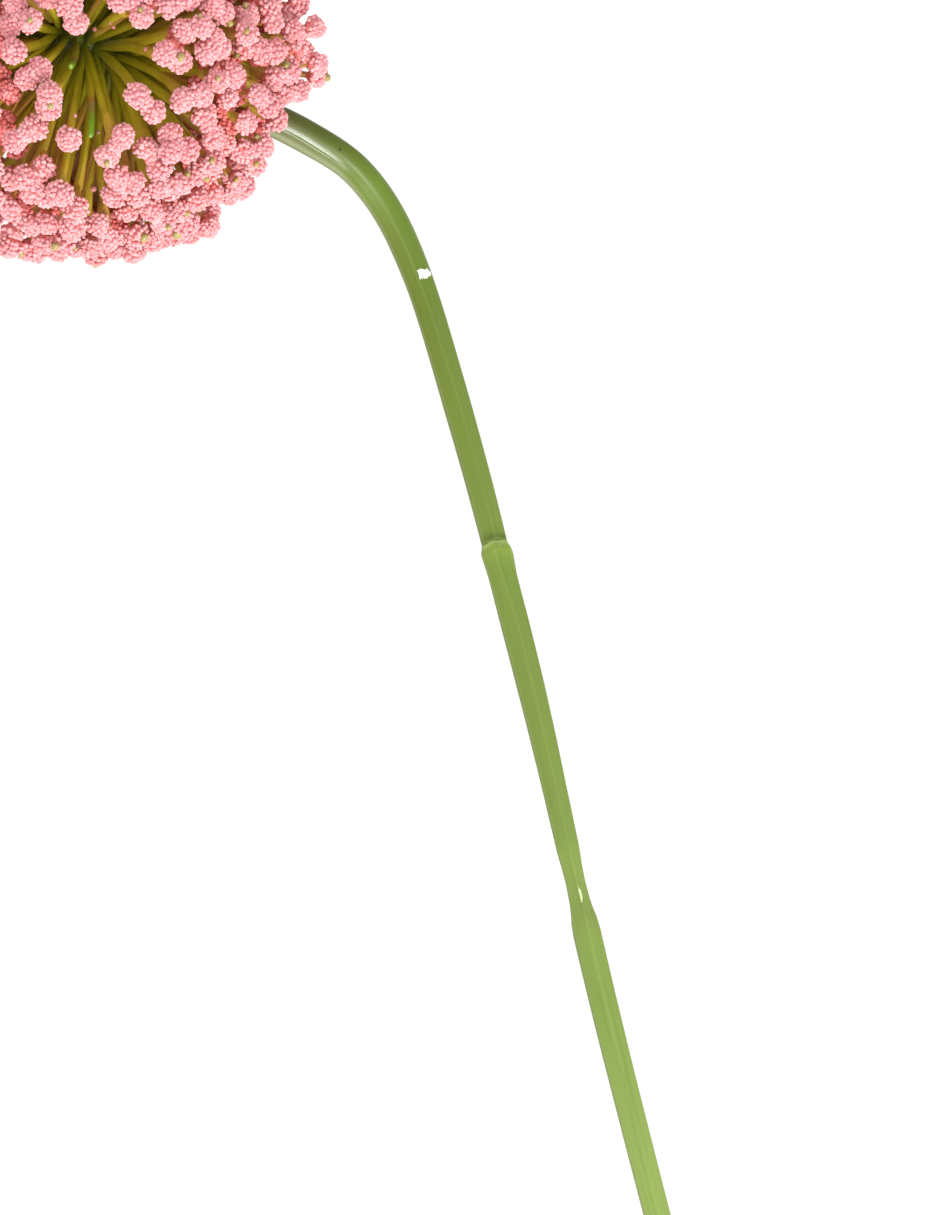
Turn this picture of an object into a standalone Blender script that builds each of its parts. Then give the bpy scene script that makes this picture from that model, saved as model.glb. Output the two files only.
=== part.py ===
"""Artificial allium: a ball of beaded florets on a bent, moulded stem, lying on its side.

Lengths are metres and +Z is up. The flower rests on the plane Z = 0, with the middle of its
bounding box above the origin. Its head is a stack of moulded rosettes pushed on a steel wire,
and every rosette is a small hub with stalks that end in clusters of beaded lobes. The wire
runs on through two stem mouldings that plug into each other, and it holds their bend.
"""

import math
import random

import bmesh
import bpy
import numpy as np
from mathutils import Matrix, Vector

MM = 0.001

# The head: a ball of lobed clusters round the hubs, pressed a little flat where it rests.
HEAD_X, HEAD_Y = -39.78 * MM, 112.28 * MM
HEAD_HEIGHT = 43.5 * MM
LOBE_RADIUS = 2.95 * MM
CLUSTER_REACH = 42.2 * MM
REACH_SPREAD = 1.4 * MM
CLUSTER_TILT = math.radians(24.0)
CLUSTER_CORE = 2.2 * MM
LOBE_SPREADS = {1: 0.0 * MM, 2: 2.35 * MM, 3: 2.75 * MM}
LOBE_SHARES = {1: 0.06, 2: 0.30, 3: 0.64}
TURNS_TRIED = 12
PRESS_DEPTH = 0.45 * MM
SPIRAL_PLACES = 184
MOST_POLAR = math.radians(164.0)
FIRST_TURN = math.radians(12.0)
JITTER = math.radians(2.0)

# The head's thin side, where only stalks and hubs show between the clusters.
THIN_SIDE = (0.0, -0.56, 0.83)
THIN_WIDTH = math.radians(25.0)

# The side that is seen: the eye's place from the head's middle, and how far its view tilts back.
EYE = (79.17 * MM, -613.35 * MM, 1038.04 * MM)
EYE_TILT = math.radians(25.0)

# The clusters of that side: where each lobe is seen, across and up from the head's middle, in mm.
SEEN_CLUSTERS = [
    [(-15.8, -1.5)],
    [(-13.3, -6.7), (-10.4, -5.2)],
    [(-8.5, -10.2), (-8.7, -13.1)],
    [(-11.5, -17.3), (-15.6, -20.0)],
    [(-4.4, -19.6)],
    [(3.5, -23.1), (6.9, -19.0)],
    [(9.8, -10.4), (13.3, -14.0)],
    [(11.0, 5.8), (6.0, 9.4), (10.4, 10.4)],
    [(-2.9, 4.6), (-4.4, 8.5)],
    [(-12.3, 5.2), (-16.5, 4.1), (-15.4, 8.5)],
    [(-9.4, 9.8), (-10.8, 13.1)],
    [(15.6, -1.7), (18.7, -3.4)],
    [(19.6, 3.1), (23.5, 3.7)],
    [(16.5, 8.3), (20.4, 9.4)],
    [(24.2, -1.5), (27.3, -0.6), (25.4, 1.6)],
    [(19.2, -11.5), (23.1, -10.4)],
    [(26.2, -7.3), (29.8, -6.1)],
    [(32.7, 6.0), (32.3, 2.5)],
    [(27.7, 6.2), (25.2, 8.7)],
    [(37.3, 8.3), (37.9, 5.0)],
    [(43.1, 8.7), (41.7, 11.9)],
    [(41.5, 3.3), (46.7, 3.7), (43.1, 0.2)],
    [(46.9, -3.8), (47.1, -6.5)],
    [(41.5, -5.4), (37.9, -7.1)],
    [(31.9, -0.4), (35.2, -1.1)],
    [(40.4, -9.8), (43.3, -9.4)],
    [(34.8, -10.4), (36.9, -12.5)],
    [(38.7, -15.4)],
    [(32.5, -16.1)],
    [(23.7, -14.4), (25.8, -19.4)],
    [(16.2, -18.8), (20.2, -21.9), (16.7, -22.5)],
    [(12.1, -21.3), (14.6, -25.6)],
    [(35.8, -21.1), (34.0, -24.8), (31.5, -21.9)],
    [(28.7, -31.1), (30.8, -27.9)],
    [(25.6, -24.4), (22.1, -26.5)],
    [(24.0, -37.9), (24.4, -34.8)],
    [(18.3, -33.8), (20.2, -36.9)],
    [(18.7, -28.6), (14.6, -29.4)],
    [(12.5, -34.0), (15.2, -36.9)],
    [(9.0, -42.9), (9.6, -39.2)],
    [(4.8, -31.1), (9.0, -28.6), (5.6, -27.3)],
    [(-3.1, -33.8), (-3.5, -37.7)],
    [(-6.9, -30.4)],
    [(-13.3, -27.5), (-9.2, -25.4), (-11.9, -30.6)],
    [(-16.7, -33.8), (-20.0, -31.5)],
    [(-12.1, -37.3), (-9.0, -36.9)],
    [(1.7, -37.1), (4.2, -40.2)],
    [(-16.9, -41.7), (-13.1, -42.3)],
    [(-9.8, -40.9), (-5.8, -41.3)],
    [(-2.7, -41.9), (0.4, -41.7)],
    [(12.5, -39.4), (15.4, -39.8)],
    [(20.4, -39.0), (17.9, -38.1)],
    [(-20.4, -25.0)],
    [(-21.2, -13.6)],
    [(-21.7, -6.3)],
]
SEEN_REACH = 42.0 * MM
REACH_LIMITS = (39.5 * MM, 44.5 * MM)
RIM_SLACK = 0.3 * MM

# How the seen lobes settle: spacings within a cluster and between clusters, and the steps.
OWN_SPACING = (3.4 * MM, 5.4 * MM)
OTHER_SPACING = 6.28 * MM
SETTLE_STEPS = 400
PUSH_SHARE = 0.35
SIGHT_SHARE = 0.04
REACH_SHARE = 0.1

# The rosettes: how many, how many stalks on each, and their hubs along the wire.
ROSETTES = 10
STALKS_EACH = 19
HUB_PITCH = 2.5 * MM
HUB_THICKNESS = 1.5 * MM
HUB_RADIUS = 3.0 * MM
HUB_SIDES = 12
FRONT_CAP_EXTRA = 1.2 * MM
STALK_ROOT_DEPTH = 0.5 * MM
STALK_ROOT_RADIUS = 0.4 * MM
STALK_TIP_RADIUS = 0.85 * MM
STALK_SIDES = 3

# The wire, and the clearance that every piece keeps from its neighbour.
WIRE_RADIUS = 0.8 * MM
CLEARANCE = 0.3 * MM
BORE_RADIUS = WIRE_RADIUS + CLEARANCE

# The stem's centre line from the head's middle: beside it, behind it, and up from the floor.
ROUTE = [
    (-11.7 * MM, 1.8 * MM, 51.0 * MM),
    (0.0 * MM, 0.0 * MM, 43.5 * MM),
    (12.5 * MM, -1.9 * MM, 35.5 * MM),
    (25.0 * MM, -3.35 * MM, 27.7 * MM),
    (36.5 * MM, -4.3 * MM, 20.6 * MM),
    (45.4 * MM, -5.9 * MM, 14.2 * MM),
    (53.2 * MM, -9.0 * MM, 9.5 * MM),
    (58.6 * MM, -14.1 * MM, 6.8 * MM),
    (63.0 * MM, -21.0 * MM, 5.0 * MM),
    (66.8 * MM, -29.8 * MM, 3.8 * MM),
    (70.2 * MM, -40.0 * MM, 3.22 * MM),
    (74.7 * MM, -56.7 * MM, 3.12 * MM),
    (80.9 * MM, -81.4 * MM, 3.32 * MM),
    (86.4 * MM, -105.5 * MM, 3.51 * MM),
    (93.5 * MM, -137.1 * MM, 3.33 * MM),
    (106.0 * MM, -198.3 * MM, 3.03 * MM),
    (122.2 * MM, -269.0 * MM, 2.7 * MM),
]
ROUTE_SAMPLES = 24

# Stem widths along the centre line, counted from the head's middle: (distance, width).
UPPER_WIDTHS = [
    (12.6 * MM, 3.8 * MM),
    (15.0 * MM, 4.4 * MM),
    (22.0 * MM, 5.4 * MM),
    (36.0 * MM, 7.2 * MM),
    (51.0 * MM, 7.3 * MM),
    (70.0 * MM, 6.95 * MM),
    (85.0 * MM, 6.65 * MM),
    (100.0 * MM, 6.35 * MM),
    (122.0 * MM, 6.1 * MM),
    (144.0 * MM, 5.8 * MM),
    (159.1 * MM, 5.55 * MM),
]
SPIGOT_WIDTH = 4.2 * MM
SPIGOT_END = 168.5 * MM
SHOULDER_RUN = 0.15 * MM
LOWER_WIDTHS = [
    (159.4 * MM, 6.1 * MM),
    (160.9 * MM, 7.0 * MM),
    (163.0 * MM, 6.75 * MM),
    (166.0 * MM, 6.45 * MM),
    (172.0 * MM, 6.25 * MM),
    (190.0 * MM, 6.0 * MM),
    (200.0 * MM, 5.7 * MM),
    (218.0 * MM, 5.15 * MM),
    (228.5 * MM, 4.9 * MM),
    (232.5 * MM, 4.4 * MM),
    (236.0 * MM, 4.15 * MM),
    (240.5 * MM, 4.45 * MM),
    (243.0 * MM, 5.0 * MM),
    (244.6 * MM, 5.6 * MM),
    (247.5 * MM, 5.95 * MM),
    (264.0 * MM, 5.8 * MM),
    (286.0 * MM, 5.6 * MM),
    (308.0 * MM, 5.45 * MM),
]
STEM_END = 335.0 * MM
WIRE_START = -12.0 * MM
RING_SPACING = 6.5 * MM

# The stem's section: a hexagon with blunt corners, one corner nearly on top.
HEXAGON_SIDES = 6
CORNER_TURN = math.radians(20.0)
CORNER_BLUNT = math.radians(7.0)
WIDTH_PER_RADIUS = 1.97

SEED = 30
GOLDEN_TURN = math.pi * (3.0 - math.sqrt(5.0))
WELD_DISTANCE = 0.00001


def clear_scene():
    """Removes what the scene holds, so that the script can be run again."""
    for obj in list(bpy.data.objects):
        bpy.data.objects.remove(obj)


def new_collection(name):
    """A collection linked to the scene."""
    collection = bpy.data.collections.new(name)
    bpy.context.scene.collection.children.link(collection)
    return collection


def plastic(name, colour, roughness, metallic=0.0):
    """A Principled BSDF material with one colour."""
    material = bpy.data.materials.new(name)
    material.use_nodes = True
    shader = material.node_tree.nodes["Principled BSDF"]
    shader.inputs["Base Color"].default_value = (*colour, 1.0)
    shader.inputs["Roughness"].default_value = roughness
    shader.inputs["Metallic"].default_value = metallic
    return material


def head_centre():
    """The middle of the ball of florets."""
    return Vector((HEAD_X, HEAD_Y, HEAD_HEIGHT))


def smooth_route():
    """The centre line as close-set points, each with its distance from the head's middle."""
    knots = [Vector((HEAD_X + x, HEAD_Y + y, z)) for x, y, z in ROUTE]
    ends = [2 * knots[0] - knots[1], *knots, 2 * knots[-1] - knots[-2]]
    points = []
    for p0, p1, p2, p3 in zip(ends, ends[1:], ends[2:], ends[3:]):
        for step in range(ROUTE_SAMPLES):
            t = step / ROUTE_SAMPLES
            curve = 2 * p1 + (p2 - p0) * t + (2 * p0 - 5 * p1 + 4 * p2 - p3) * t**2
            points.append((curve + (3 * p1 - p0 - 3 * p2 + p3) * t**3) / 2)
    points.append(knots[-1])
    distance = -(knots[1] - knots[0]).length
    route = [(distance, points[0])]
    for before, point in zip(points, points[1:]):
        distance += (point - before).length
        route.append((distance, point))
    return route


def route_point(route, distance):
    """The point at that distance along the centre line."""
    for (low, first), (high, second) in zip(route, route[1:]):
        if distance <= high:
            return first.lerp(second, (distance - low) / (high - low))
    (low, first), (high, second) = route[-2:]
    return first + (second - first) * (distance - low) / (high - low)


def stations(widths, end):
    """(distance, width) at every entry of the table, and between them no more than RING_SPACING apart."""
    table = [*widths, (end, widths[-1][1])] if end > widths[-1][0] else widths
    found = []
    for (low, first), (high, second) in zip(table, table[1:]):
        count = max(1, round((high - low) / RING_SPACING))
        for step in range(count):
            share = step / count
            found.append((low + (high - low) * share, first + (second - first) * share))
    return [*found, table[-1]]


def hexagon_angles():
    """The angles of the section's points: two for each blunt corner."""
    corners = [CORNER_TURN + math.tau * k / HEXAGON_SIDES for k in range(HEXAGON_SIDES)]
    return [corner + side for corner in corners for side in (-CORNER_BLUNT, CORNER_BLUNT)]


def round_angles(sides):
    """The angles of a round section's points."""
    return [math.tau * k / sides for k in range(sides)]


def section_curve(name, angles, helpers):
    """A closed flat curve of radius 1 m, which a tube's bevel scales by each point's radius."""
    curve = bpy.data.curves.new(name, "CURVE")
    curve.dimensions = "2D"
    spline = curve.splines.new("POLY")
    spline.points.add(len(angles) - 1)
    for point, angle in zip(spline.points, angles):
        point.co = (math.sin(angle), math.cos(angle), 0.0, 1.0)
    spline.use_cyclic_u = True
    section = bpy.data.objects.new(name, curve)
    section.hide_render = True
    helpers.objects.link(section)
    return section


def tube(name, route, table, section, collection):
    """A solid mesh swept along the centre line, from (distance, radius) pairs and a section."""
    curve = bpy.data.curves.new(name, "CURVE")
    curve.dimensions = "3D"
    curve.twist_mode = "Z_UP"
    curve.bevel_mode = "OBJECT"
    curve.bevel_object = section
    curve.use_fill_caps = True
    spline = curve.splines.new("POLY")
    spline.points.add(len(table) - 1)
    for point, (distance, radius) in zip(spline.points, table):
        point.co = (*route_point(route, distance), 1.0)
        point.radius = radius
    swept = bpy.data.objects.new(name, curve)
    collection.objects.link(swept)
    return as_mesh(swept, collection)


def as_mesh(swept, collection):
    """The mesh that a curve object makes, with its caps welded on, in place of the curve."""
    bpy.context.view_layer.update()
    evaluated = swept.evaluated_get(bpy.context.evaluated_depsgraph_get())
    mesh = bpy.data.meshes.new_from_object(evaluated)
    work = bmesh.new()
    work.from_mesh(mesh)
    bmesh.ops.remove_doubles(work, verts=work.verts, dist=WELD_DISTANCE)
    bmesh.ops.recalc_face_normals(work, faces=work.faces)
    work.to_mesh(mesh)
    work.free()
    name, matrix = swept.name, swept.matrix_world.copy()
    bpy.data.objects.remove(swept)
    solid = bpy.data.objects.new(name, mesh)
    solid.matrix_world = matrix
    collection.objects.link(solid)
    return solid


def subtract(solid, cutter):
    """Adds a Boolean that takes the cutter out of the solid."""
    cutter.hide_render = True
    cutter.display_type = "WIRE"
    boolean = solid.modifiers.new("cut " + cutter.name, "BOOLEAN")
    boolean.operation = "DIFFERENCE"
    boolean.object = cutter


def finish_solid(solid, material):
    """Gives a solid its material and smooth shading with sharp corners."""
    solid.data.materials.clear()
    solid.data.materials.append(material)
    solid.data.shade_smooth()
    solid.data.set_sharp_from_angle(angle=math.radians(28.0))


def make_stem(route, parts, helpers, green, steel):
    """The two stem mouldings, bored for the wire, and the wire itself; returns the bore's cutter."""
    hexagon = section_curve("hexagon_section", hexagon_angles(), helpers)
    circle = section_curve("round_section", round_angles(8), helpers)

    def radii(widths, end):
        """The table of stations with corner radii for widths."""
        return [(place, width / WIDTH_PER_RADIUS) for place, width in stations(widths, end)]

    shoulder = UPPER_WIDTHS[-1][0]
    spigot = [(shoulder + SHOULDER_RUN, SPIGOT_WIDTH), (SPIGOT_END, SPIGOT_WIDTH)]
    upper_table = radii(UPPER_WIDTHS, shoulder) + radii(spigot, SPIGOT_END)
    upper = tube("stem_upper", route, upper_table, hexagon, parts)
    lower_table = radii(LOWER_WIDTHS, STEM_END)
    lower = tube("stem_lower", route, lower_table, hexagon, parts)

    socket_width = SPIGOT_WIDTH + 2 * CLEARANCE
    socket_ends = [(shoulder - CLEARANCE, socket_width), (SPIGOT_END + CLEARANCE, socket_width)]
    socket = tube("socket_cutter", route, radii(socket_ends, shoulder), hexagon, helpers)
    past_end = STEM_END + 2 * MM
    bore_table = [(WIRE_START - CLEARANCE, BORE_RADIUS), (past_end, BORE_RADIUS)]
    bore = tube("bore_cutter", route, stations(bore_table, 0.0), circle, helpers)
    subtract(upper, bore)
    subtract(lower, socket)
    subtract(lower, bore)

    wire_table = [(WIRE_START, WIRE_RADIUS), (STEM_END, WIRE_RADIUS)]
    wire = tube("stem_wire", route, stations(wire_table, 0.0), circle, parts)
    finish_solid(upper, green)
    finish_solid(lower, green)
    finish_solid(wire, steel)
    return bore


def head_matrix():
    """Turns the head's own frame, whose +Z points out of the flower's front, to the stem's end."""
    before, middle = [Vector(knot) for knot in ROUTE[:2]]
    front = (before - middle).normalized()
    side = Vector((0.0, 0.0, 1.0)).cross(front).normalized()
    turn = Matrix((side, front.cross(side), front)).transposed()
    return Matrix.Translation(head_centre()) @ turn.to_4x4()


def seen_clusters():
    """The measured clusters, each as its lobes' centres on the ball, settled clear of the others."""
    eye = np.array(EYE)
    across = np.array((1.0, 0.0, 0.0))
    upward = np.array((0.0, math.cos(EYE_TILT), math.sin(EYE_TILT)))
    owners = np.array([k for k, lobes in enumerate(SEEN_CLUSTERS) for _ in lobes])
    spots = np.array([spot for lobes in SEEN_CLUSTERS for spot in lobes]) * MM
    sights = spots[:, :1] * across + spots[:, 1:] * upward - eye
    sights /= np.linalg.norm(sights, axis=1, keepdims=True)
    nearest = eye - sights * (sights @ eye)[:, None]
    rims = np.linalg.norm(nearest, axis=1, keepdims=True)
    places = nearest - sights * np.sqrt(np.maximum(SEEN_REACH**2 - rims**2, 0.0))
    settle(places, owners, sights, np.maximum(REACH_LIMITS[1], rims + RIM_SLACK))
    settled = [head_centre() + Vector(place) for place in places]
    return [
        [lobe for lobe, owner in zip(settled, owners) if owner == k]
        for k in range(len(SEEN_CLUSTERS))
    ]


def settle(places, owners, sights, farthest):
    """Moves lobes until every cluster clears the others and its own lobes touch.

    A lobe goes nearer or farther along its line of sight, and hardly beside it.
    """
    kin = owners[:, None] == owners
    low = np.where(kin, OWN_SPACING[0], OTHER_SPACING)
    high = np.where(kin, OWN_SPACING[1], 1.0)
    np.fill_diagonal(low, 0.0)
    for _ in range(SETTLE_STEPS):
        gaps = places[:, None] - places
        lengths = np.linalg.norm(gaps, axis=2)
        wrong = np.clip(lengths, low, high) - lengths
        np.fill_diagonal(lengths, 1.0)
        push = ((wrong / lengths)[:, :, None] * gaps).sum(axis=1)
        beside = places - np.array(EYE)
        beside -= sights * (beside * sights).sum(axis=1, keepdims=True)
        reach = np.linalg.norm(places, axis=1, keepdims=True)
        back = places / reach * (reach - np.clip(reach, REACH_LIMITS[0], farthest))
        places += PUSH_SHARE * push - SIGHT_SHARE * beside - REACH_SHARE * back


def middle_of(lobes):
    """The middle between a cluster's lobes."""
    return sum(lobes, Vector()) / len(lobes)


def hidden_directions(draw, seen, wanted):
    """Unit vectors to the clusters that aren't seen, on a sunflower spiral round the whole ball.

    Places in the thin side are left out, and then those nearest to a seen lobe.
    """
    turned = head_matrix().to_3x3()
    known = [lobe - head_centre() for lobes in seen for lobe in lobes]
    found = []
    for k in range(SPIRAL_PLACES):
        level = 1.0 - (1.0 - math.cos(MOST_POLAR)) * (k + 0.5) / SPIRAL_PLACES
        polar = math.acos(level) + draw.uniform(-JITTER, JITTER)
        turn = FIRST_TURN + k * GOLDEN_TURN + draw.uniform(-JITTER, JITTER)
        side = math.sin(polar)
        direction = Vector((side * math.cos(turn), side * math.sin(turn), math.cos(polar)))
        direction = turned @ direction
        if direction.angle(Vector(THIN_SIDE)) > THIN_WIDTH:
            found.append((min(direction.angle(lobe) for lobe in known), direction))
    found.sort(key=lambda pair: -pair[0])
    return [direction for _, direction in found[:wanted]]


def cluster_frame(direction, tilt, turn):
    """A cluster's own axes: +Z along the tilted stalk direction, +X towards the first lobe."""
    upright = direction.to_track_quat("Z", "Y").to_matrix()
    lean = Matrix.Rotation(tilt[0], 3, "X") @ Matrix.Rotation(tilt[1], 3, "Y")
    return upright @ lean @ Matrix.Rotation(turn, 3, "Z")


def seen_frame(lobes):
    """The same axes for a measured cluster."""
    direction = (middle_of(lobes) - head_centre()).normalized()
    if len(lobes) == 1:
        return cluster_frame(direction, (0.0, 0.0), 0.0)
    along = (lobes[0] - middle_of(lobes)).normalized()
    across = direction.cross(along).normalized()
    return Matrix((along, across, along.cross(across))).transposed()


def lobe_centres(middle, axes, count):
    """Where a cluster's lobes sit, side by side round its middle and lifted clear of the floor."""
    spread = LOBE_SPREADS[count]
    lobes = []
    for k in range(count):
        angle = math.tau * k / count
        lobe = middle + axes @ Vector((math.cos(angle), math.sin(angle), 0.0)) * spread
        lobe.z = max(lobe.z, LOBE_RADIUS - PRESS_DEPTH)
        lobes.append(lobe)
    return lobes


def room_round(lobes, taken):
    """The least distance from any of the lobes to any lobe in the list."""
    return min(((lobe - other).length for lobe in lobes for other in taken), default=1.0)


def hidden_cluster(draw, direction, taken):
    """One cluster's axes and lobe centres, with as many lobes as the taken places leave room for.

    Of the turns tried, the one that leaves the most room is used.
    """
    middle = head_centre() + direction * (CLUSTER_REACH + draw.gauss(0.0, REACH_SPREAD))
    tilt = [draw.uniform(-CLUSTER_TILT, CLUSTER_TILT) for _ in range(2)]
    wanted = draw.choices(list(LOBE_SHARES), list(LOBE_SHARES.values()))[0]
    turn = draw.uniform(0.0, math.tau)
    near = [lobe for lobe in taken if (lobe - middle).length < 6 * LOBE_RADIUS]
    best_room, best = 0.0, None
    for count in range(wanted, 0, -1):
        for step in range(TURNS_TRIED):
            axes = cluster_frame(direction, tilt, turn + math.tau * step / TURNS_TRIED)
            lobes = lobe_centres(middle, axes, count)
            room = room_round(lobes, near)
            if room > best_room:
                best_room, best = room, (axes, lobes)
        if best_room > 2 * LOBE_RADIUS + CLEARANCE:
            break
    return best


def place_clusters():
    """One list for each rosette, of (axes, lobe centres) for each stalk's cluster.

    The seen clusters and the others are dealt to the rosettes together, from the front to the
    back of the head.
    """
    draw = random.Random(SEED)
    seen = seen_clusters()
    hidden = hidden_directions(draw, seen, ROSETTES * STALKS_EACH - len(seen))
    front = head_matrix().to_3x3() @ Vector((0.0, 0.0, 1.0))
    stalks = [(front.angle(middle_of(lobes) - head_centre()), None, lobes) for lobes in seen]
    stalks += [(front.angle(direction), direction, None) for direction in hidden]
    stalks.sort(key=lambda stalk: stalk[0])
    taken = [(k // STALKS_EACH, lobes) for k, (_, _, lobes) in enumerate(stalks) if lobes]
    rosettes = [[] for _ in range(ROSETTES)]
    for k, (_, direction, lobes) in enumerate(stalks):
        own = k // STALKS_EACH
        if lobes:
            rosettes[own].append((seen_frame(lobes), lobes))
            continue
        others = [lobe for index, group in taken if index != own for lobe in group]
        axes, lobes = hidden_cluster(draw, direction, others)
        taken.append((own, lobes))
        rosettes[own].append((axes, lobes))
    return rosettes


def reach_of_lobes(direction, offsets):
    """How far the lobes' joined surface lies from the cluster's middle in that direction."""
    furthest = CLUSTER_CORE
    for offset in offsets:
        along = direction.dot(offset)
        inside = LOBE_RADIUS**2 - offset.length_squared + along**2
        if inside > 0.0:
            furthest = max(furthest, along + math.sqrt(inside))
    return furthest


def add_ball(work, count):
    """A coarse unit ball, with points where a cluster of that many lobes needs them."""
    if count == 1:
        bmesh.ops.create_icosphere(work, subdivisions=1, radius=1.0)
    elif count == 2:
        poles_on_lobes = Matrix.Rotation(math.radians(90.0), 4, "Y")
        bmesh.ops.create_uvsphere(work, u_segments=6, v_segments=4, radius=1.0, matrix=poles_on_lobes)
    else:
        astride_lobes = Matrix.Rotation(math.radians(20.0), 4, "Z")
        bmesh.ops.create_uvsphere(work, u_segments=9, v_segments=4, radius=1.0, matrix=astride_lobes)


def add_cluster(axes, lobes, collection):
    """One cluster: a ball whose points are moved out to the surface of its lobes."""
    middle = sum(lobes, Vector()) / len(lobes)
    offsets = [lobe - middle for lobe in lobes]
    work = bmesh.new()
    add_ball(work, len(lobes))
    for vert in work.verts:
        direction = axes @ vert.co.normalized()
        vert.co = direction * reach_of_lobes(direction, offsets)
    mesh = bpy.data.meshes.new("cluster")
    work.to_mesh(mesh)
    work.free()
    cluster = bpy.data.objects.new("cluster", mesh)
    cluster.location = middle
    collection.objects.link(cluster)
    return middle


def add_stalk(root, tip, collection):
    """A stalk that widens from its root in the hub to its tip inside the cluster."""
    work = bmesh.new()
    run = tip - root
    bmesh.ops.create_cone(
        work,
        cap_ends=True,
        segments=STALK_SIDES,
        radius1=STALK_ROOT_RADIUS,
        radius2=STALK_TIP_RADIUS,
        depth=run.length,
    )
    mesh = bpy.data.meshes.new("stalk")
    work.to_mesh(mesh)
    work.free()
    stalk = bpy.data.objects.new("stalk", mesh)
    stalk.location = (root + tip) / 2
    stalk.rotation_mode = "QUATERNION"
    stalk.rotation_quaternion = run.to_track_quat("Z", "Y")
    collection.objects.link(stalk)


def add_hub(name, index, parts):
    """A rosette's hub, a short cylinder in its place on the wire; the front one has a thick cap."""
    cap = FRONT_CAP_EXTRA if index == 0 else 0.0
    middle = HUB_PITCH * ((ROSETTES - 1) / 2 - index)
    work = bmesh.new()
    bmesh.ops.create_cone(
        work,
        cap_ends=True,
        segments=HUB_SIDES,
        radius1=HUB_RADIUS,
        radius2=HUB_RADIUS,
        depth=HUB_THICKNESS + cap,
        matrix=head_matrix() @ Matrix.Translation((0.0, 0.0, middle + cap / 2)),
    )
    mesh = bpy.data.meshes.new(name)
    work.to_mesh(mesh)
    work.free()
    hub = bpy.data.objects.new(name, mesh)
    parts.objects.link(hub)
    return hub, head_matrix() @ Vector((0.0, 0.0, middle))


def make_rosette(index, clusters, parts, cutters, material):
    """One moulded rosette: hub, stalks and clusters in one solid, bored and cut flat at the floor."""
    name = f"rosette_{index + 1:02d}"
    rosette, middle = add_hub(name, index, parts)
    repeats = new_collection(name + "_repeats")
    axis = head_matrix().to_3x3() @ Vector((0.0, 0.0, 1.0))
    for axes, lobes in clusters:
        tip = add_cluster(axes, lobes, repeats)
        outward = tip - middle
        outward = (outward - axis * outward.dot(axis)).normalized()
        add_stalk(middle + outward * (HUB_RADIUS - STALK_ROOT_DEPTH), tip, repeats)
    join_repeats(rosette, repeats)
    for cutter in cutters:
        subtract(rosette, cutter)
    finish_solid(rosette, material)


def join_repeats(solid, repeats):
    """Unites a collection's objects with the solid, then removes them."""
    union = solid.modifiers.new("join repeats", "BOOLEAN")
    union.operation = "UNION"
    union.operand_type = "COLLECTION"
    union.collection = repeats
    union.solver = "MANIFOLD"
    bpy.context.view_layer.update()
    evaluated = solid.evaluated_get(bpy.context.evaluated_depsgraph_get())
    joined = bpy.data.meshes.new_from_object(evaluated)
    solid.modifiers.remove(union)
    solid.data = joined
    keep_outer_shell(joined)
    for obj in list(repeats.objects):
        bpy.data.objects.remove(obj)
    bpy.data.collections.remove(repeats)


def keep_outer_shell(mesh):
    """Fills pockets that the union sealed, and drops scraps: only the largest shell stays."""
    work = bmesh.new()
    work.from_mesh(mesh)
    left = set(work.faces)
    shells = []
    while left:
        shell = {left.pop()}
        edge_of_shell = set(shell)
        while edge_of_shell:
            near = {face for old in edge_of_shell for edge in old.edges for face in edge.link_faces}
            edge_of_shell = near - shell
            shell |= edge_of_shell
        left -= shell
        shells.append(shell)
    largest = max(shells, key=len)
    loose = [face for face in work.faces if face not in largest]
    bmesh.ops.delete(work, geom=loose, context="FACES")
    work.to_mesh(mesh)
    work.free()


def floor_cutter(helpers):
    """A slab under the floor's plane, which takes off what the weight presses flat."""
    work = bmesh.new()
    bmesh.ops.create_cube(work, size=1.0)
    mesh = bpy.data.meshes.new("floor_cutter")
    work.to_mesh(mesh)
    work.free()
    slab = bpy.data.objects.new("floor_cutter", mesh)
    slab.scale = (0.12, 0.12, 0.01)
    slab.location = (HEAD_X, HEAD_Y, -0.005)
    helpers.objects.link(slab)
    return slab


def main():
    """Builds the flower."""
    clear_scene()
    parts = new_collection("allium_flower_head")
    helpers = new_collection("sections_and_cutters")
    green = plastic("moulded_green_plastic", (0.25, 0.36, 0.09), 0.42)
    steel = plastic("steel_wire", (0.45, 0.45, 0.46), 0.35, 1.0)
    pink = plastic("pink_beads", (0.86, 0.40, 0.42), 0.6)
    bore = make_stem(smooth_route(), parts, helpers, green, steel)
    cutters = [bore, floor_cutter(helpers)]
    for index, clusters in enumerate(place_clusters()):
        make_rosette(index, clusters, parts, cutters, pink)


main()
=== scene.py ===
"""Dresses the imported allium: foam-beaded lobes on moulded rays, and a bent two-part stem.

Lengths are metres in the solids' own frame, with +Z up and the flower lying on Z = 0. The head's
clusters follow the same placement rule as the solids, with the same constants and the same order
of draws, and smaller lobes on side forks then fill the gaps between them.
"""

import logging
import math
import random
from collections.abc import Callable, Iterator, Sequence
from dataclasses import dataclass, field
from enum import Enum

import bmesh
import bpy
import numpy as np
from bmesh.types import BMEdge, BMesh, BMVert
from bpy.types import ID, Material, Mesh, Node, NodeSocket, NodeTree, Object
from mathutils import Matrix, Vector


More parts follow.
